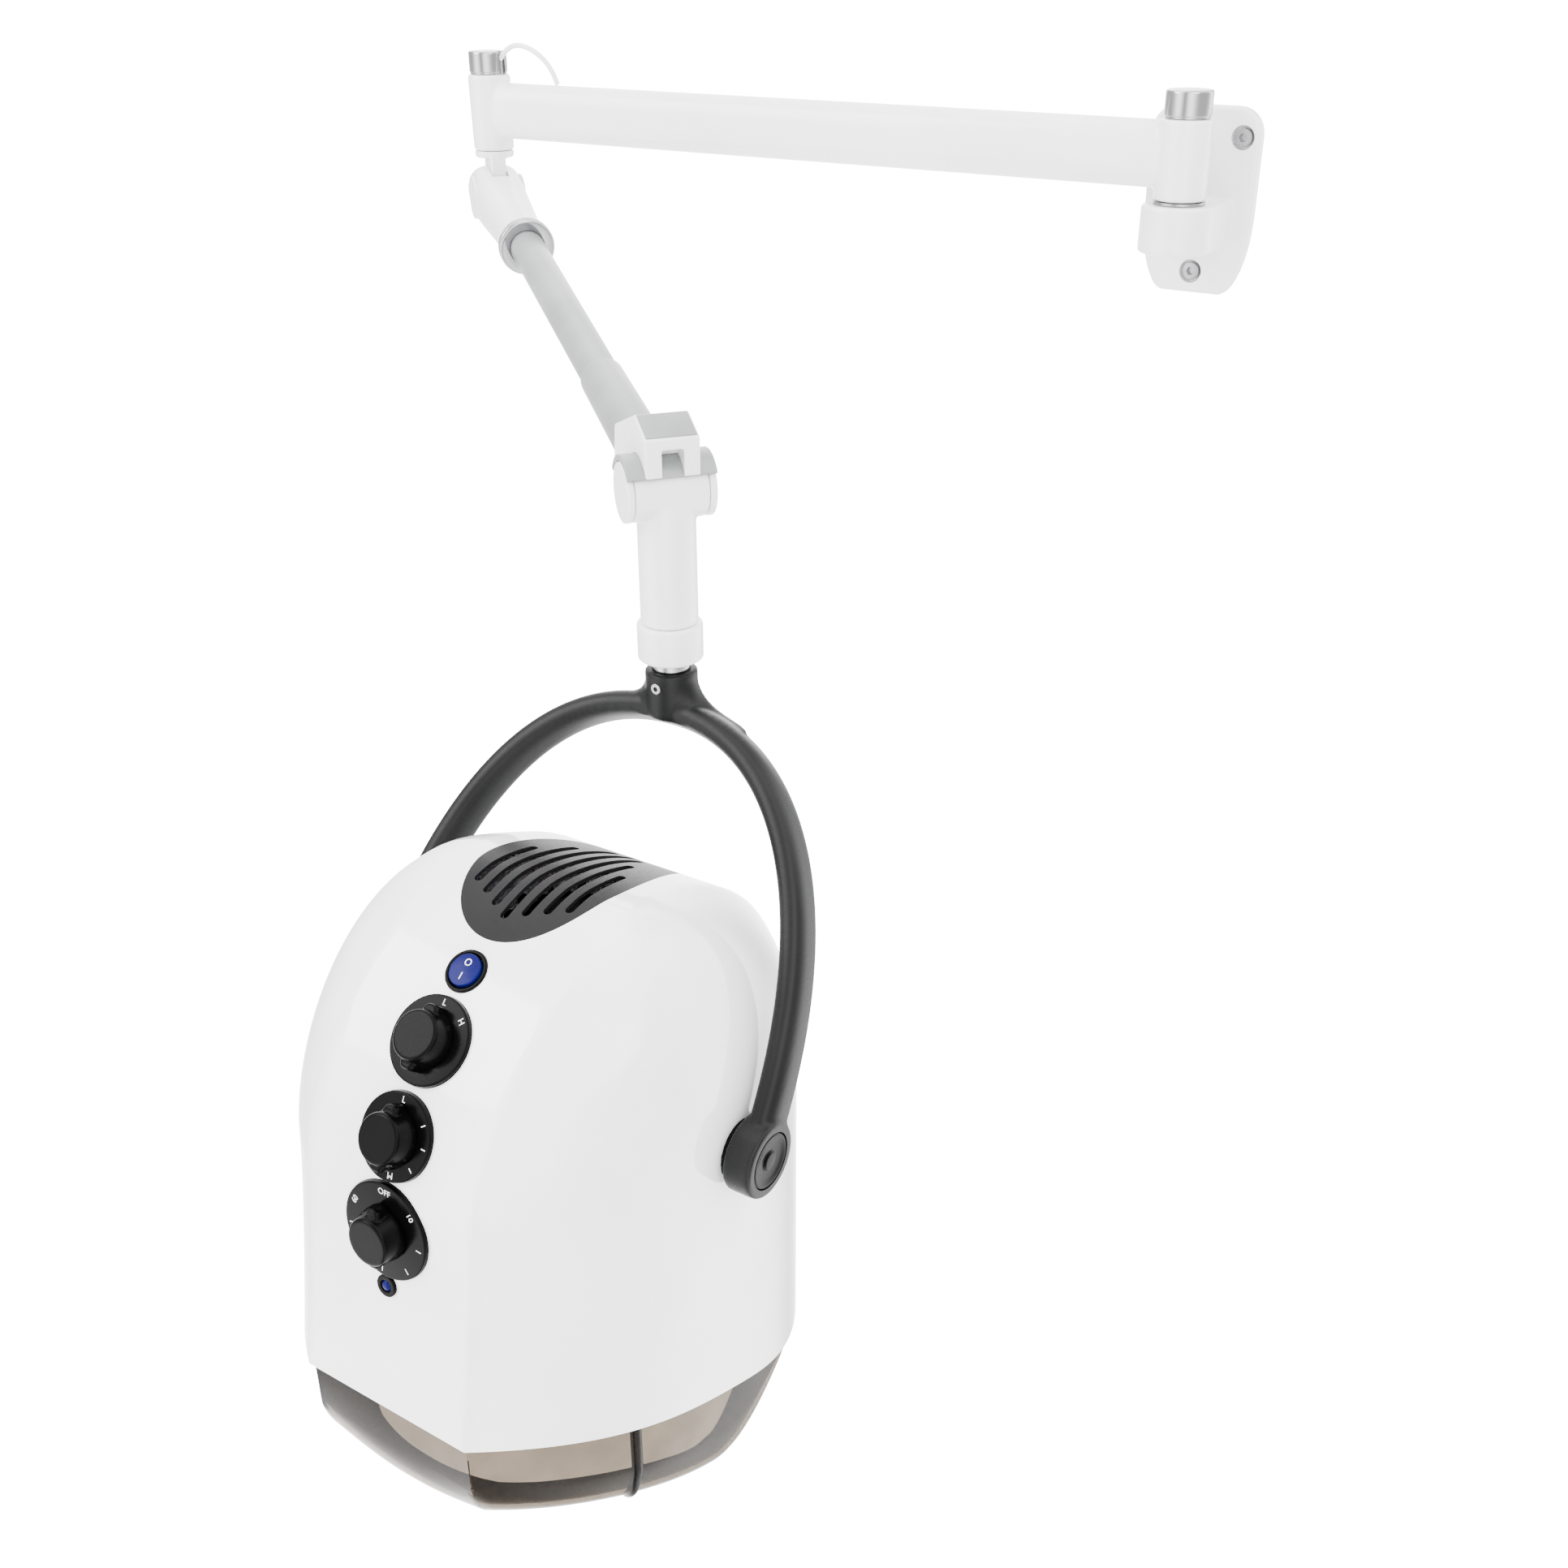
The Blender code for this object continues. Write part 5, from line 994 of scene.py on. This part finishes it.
def switch_and_lamp():
    place = panel_frame(SWITCH_HEIGHT)
    outer, rim = SWITCH_RADIUS + SWITCH_BEZEL, DIAL_PROUD / 2
    profile = [(0, -DIAL_BACK), (SWITCH_RADIUS, -DIAL_BACK), (SWITCH_RADIUS, rim), (outer, rim),
               (outer, -DIAL_BACK - 8 * MM), (0, -DIAL_BACK - 8 * MM)]
    dress(turned("bezel", profile, place, BLACK, 0.8 * MM), "hood", "switch_bezel")
    dress(disc("rocker_cap", SWITCH_RADIUS - 1 * MM, -DIAL_BACK / 2, DIAL_PROUD, place, BLUE, 1 * MM),
          "rocker", "rocker_switch")
    marks = [printed(text, 7 * MM, place @ Matrix.Translation((0, y, DIAL_PROUD + PRINT_THICK / 2)), "mark")
             for text, y in (("O", 5 * MM), ("I", -5 * MM))]
    dress(joined(marks, "rocker_print"), "rocker", slot="gloss_white")
    lug = [(LAMP_RADIUS + GAP, 2.2 * MM), (8 * MM, 2.2 * MM), (8 * MM, -4 * MM), (LAMP_RADIUS + GAP, -4 * MM)]
    dress(turned("timer_lug", lug, panel_frame(LAMP_HEIGHT), BLACK, 0.8 * MM, closed=True), "hood",
          slot="black_plastic")
    dress(turned("lamp_lens", [(0, DIAL_PROUD), (LAMP_RADIUS * 0.7, DIAL_PROUD * 0.8), (LAMP_RADIUS, 1 * MM),
                               (LAMP_RADIUS, -DIAL_BACK), (0, -DIAL_BACK)], panel_frame(LAMP_HEIGHT), BLUE, 1 * MM),
          "hood", "timer_lamp")


# Nodes that keep their CAD shape: hidden or nearly hidden pieces
KEPT = {
    "wall_post": CHROME, "upper_hinge_pin": STEEL, "lower_hinge_pin": STEEL, "pivot_bolt_left": STEEL,
    "pivot_bolt_right": STEEL, "friction_washer_left": BLACK, "friction_washer_right": BLACK,
    "heat_control": BLACK, "speed_control": BLACK, "timer_control": BLACK, "fan_motor": STEEL,
    "heater_ring": STEEL, "blower_fan": BLACK,
}


def kept_nodes():
    for node, material in KEPT.items():
        item = frame["nodes"][node]
        item.data.materials.clear()
        item.data.materials.append(material)


# Studio
FLOOR_DROP = 0.5
STAGE_RADIUS, STAGE_BEND, STAGE_HEIGHT, STAGE_SIDES = 5.0, 1.5, 6.0, 96
BACKDROP_GLOW, BAND_SCALE, BAND_DIM, BAND_BRIGHT = 14.0, 0.32, 1.6, 7.0
# Place, size in metres and watts of each softbox
SOFTBOXES = (((-2.0, -2.0, 1.2), 1.4, 70), ((1.9, -1.4, 1.2), 1.0, 16), ((-0.3, -0.6, 2.6), 2.0, 45))


def strip_lights():
    """A world of upright bright and dim bands, which gives polished metal its streaks."""
    world = bpy.data.worlds.new("studio")
    bpy.context.scene.world = world
    world.use_nodes = True
    nodes, links = world.node_tree.nodes, world.node_tree.links
    place = nodes.new("ShaderNodeTexCoord")
    bands = nodes.new("ShaderNodeTexWave")
    level = nodes.new("ShaderNodeMapRange")
    bands.bands_direction = "X"
    put(bands, Scale=BAND_SCALE)
    put(level, To_Min=BAND_DIM, To_Max=BAND_BRIGHT)
    shader = nodes["Background"]
    put(shader, Color=(1, 1, 1, 1))
    links.new(place.outputs["Generated"], bands.inputs["Vector"])
    links.new(bands.outputs["Fac"], level.inputs["Value"])
    links.new(level.outputs["Result"], shader.inputs["Strength"])


def studio():
    """The lights, the camera and a round backdrop, bent up by a quarter circle, that lights no piece."""
    low, high = CAD_BOX
    centre = Vector((low[0] + high[0], low[1] + high[1], low[2] + high[2])) / 2
    turn = np.linspace(0, math.pi / 2, 16)
    profile = np.column_stack((STAGE_RADIUS + STAGE_BEND * np.sin(turn), STAGE_BEND * (1 - np.cos(turn))))
    profile = np.vstack(([[0, 0]], profile, [[STAGE_RADIUS + STAGE_BEND, STAGE_HEIGHT]]))
    place = Matrix.Translation((centre.x, centre.y, low[2] - FLOOR_DROP))
    paper, shader = new_material("pale_backdrop", (0.9, 0.9, 0.9), 0.8)
    tint(paper, shader, add_noise(paper, 3.0), (0.89, 0.89, 0.89), (0.91, 0.91, 0.91))
    put(shader, Emission_Color=(1, 1, 1, 1), Emission_Strength=BACKDROP_GLOW)
    points = moved(swept(profile, full_turn(STAGE_SIDES)), place)
    backdrop = mesh_object("backdrop", points, grid_faces(len(profile), STAGE_SIDES), paper, 60.0)
    backdrop.data.flip_normals()
    backdrop.visible_diffuse = backdrop.visible_glossy = backdrop.visible_shadow = False
    strip_lights()
    for spot, size, power in SOFTBOXES:
        light = bpy.data.lights.new("softbox", "AREA")
        light.size = size
        light.energy = power
        item = placed("softbox", light)
        item.location = Vector(spot)
        item.rotation_euler = (centre - item.location).to_track_quat("-Z", "Y").to_euler()
    lens = bpy.data.cameras.new("camera")
    lens.sensor_width = SENSOR_MM
    lens.lens = FOCAL_PIXELS / PHOTO_SIZE * SENSOR_MM
    lens.clip_start = 0.01
    camera = placed("camera", lens)
    camera.location = CAMERA_PLACE
    camera.rotation_euler = (math.pi / 2 - CAMERA_PITCH, 0, CAMERA_AZIMUTH)
    bpy.context.scene.camera = camera


studio()
wall_bracket()
horizontal_arm()
elbow_knuckle()
spring_housing()
spring_tubes()
lower_elbow()
stem()
yoke()
hood_shell()
inner_bowl()
visor()
for control, (dial_radius, dial_height) in CONTROLS.items():
    dial(control, dial_radius, dial_height)
switch_and_lamp()
kept_nodes()
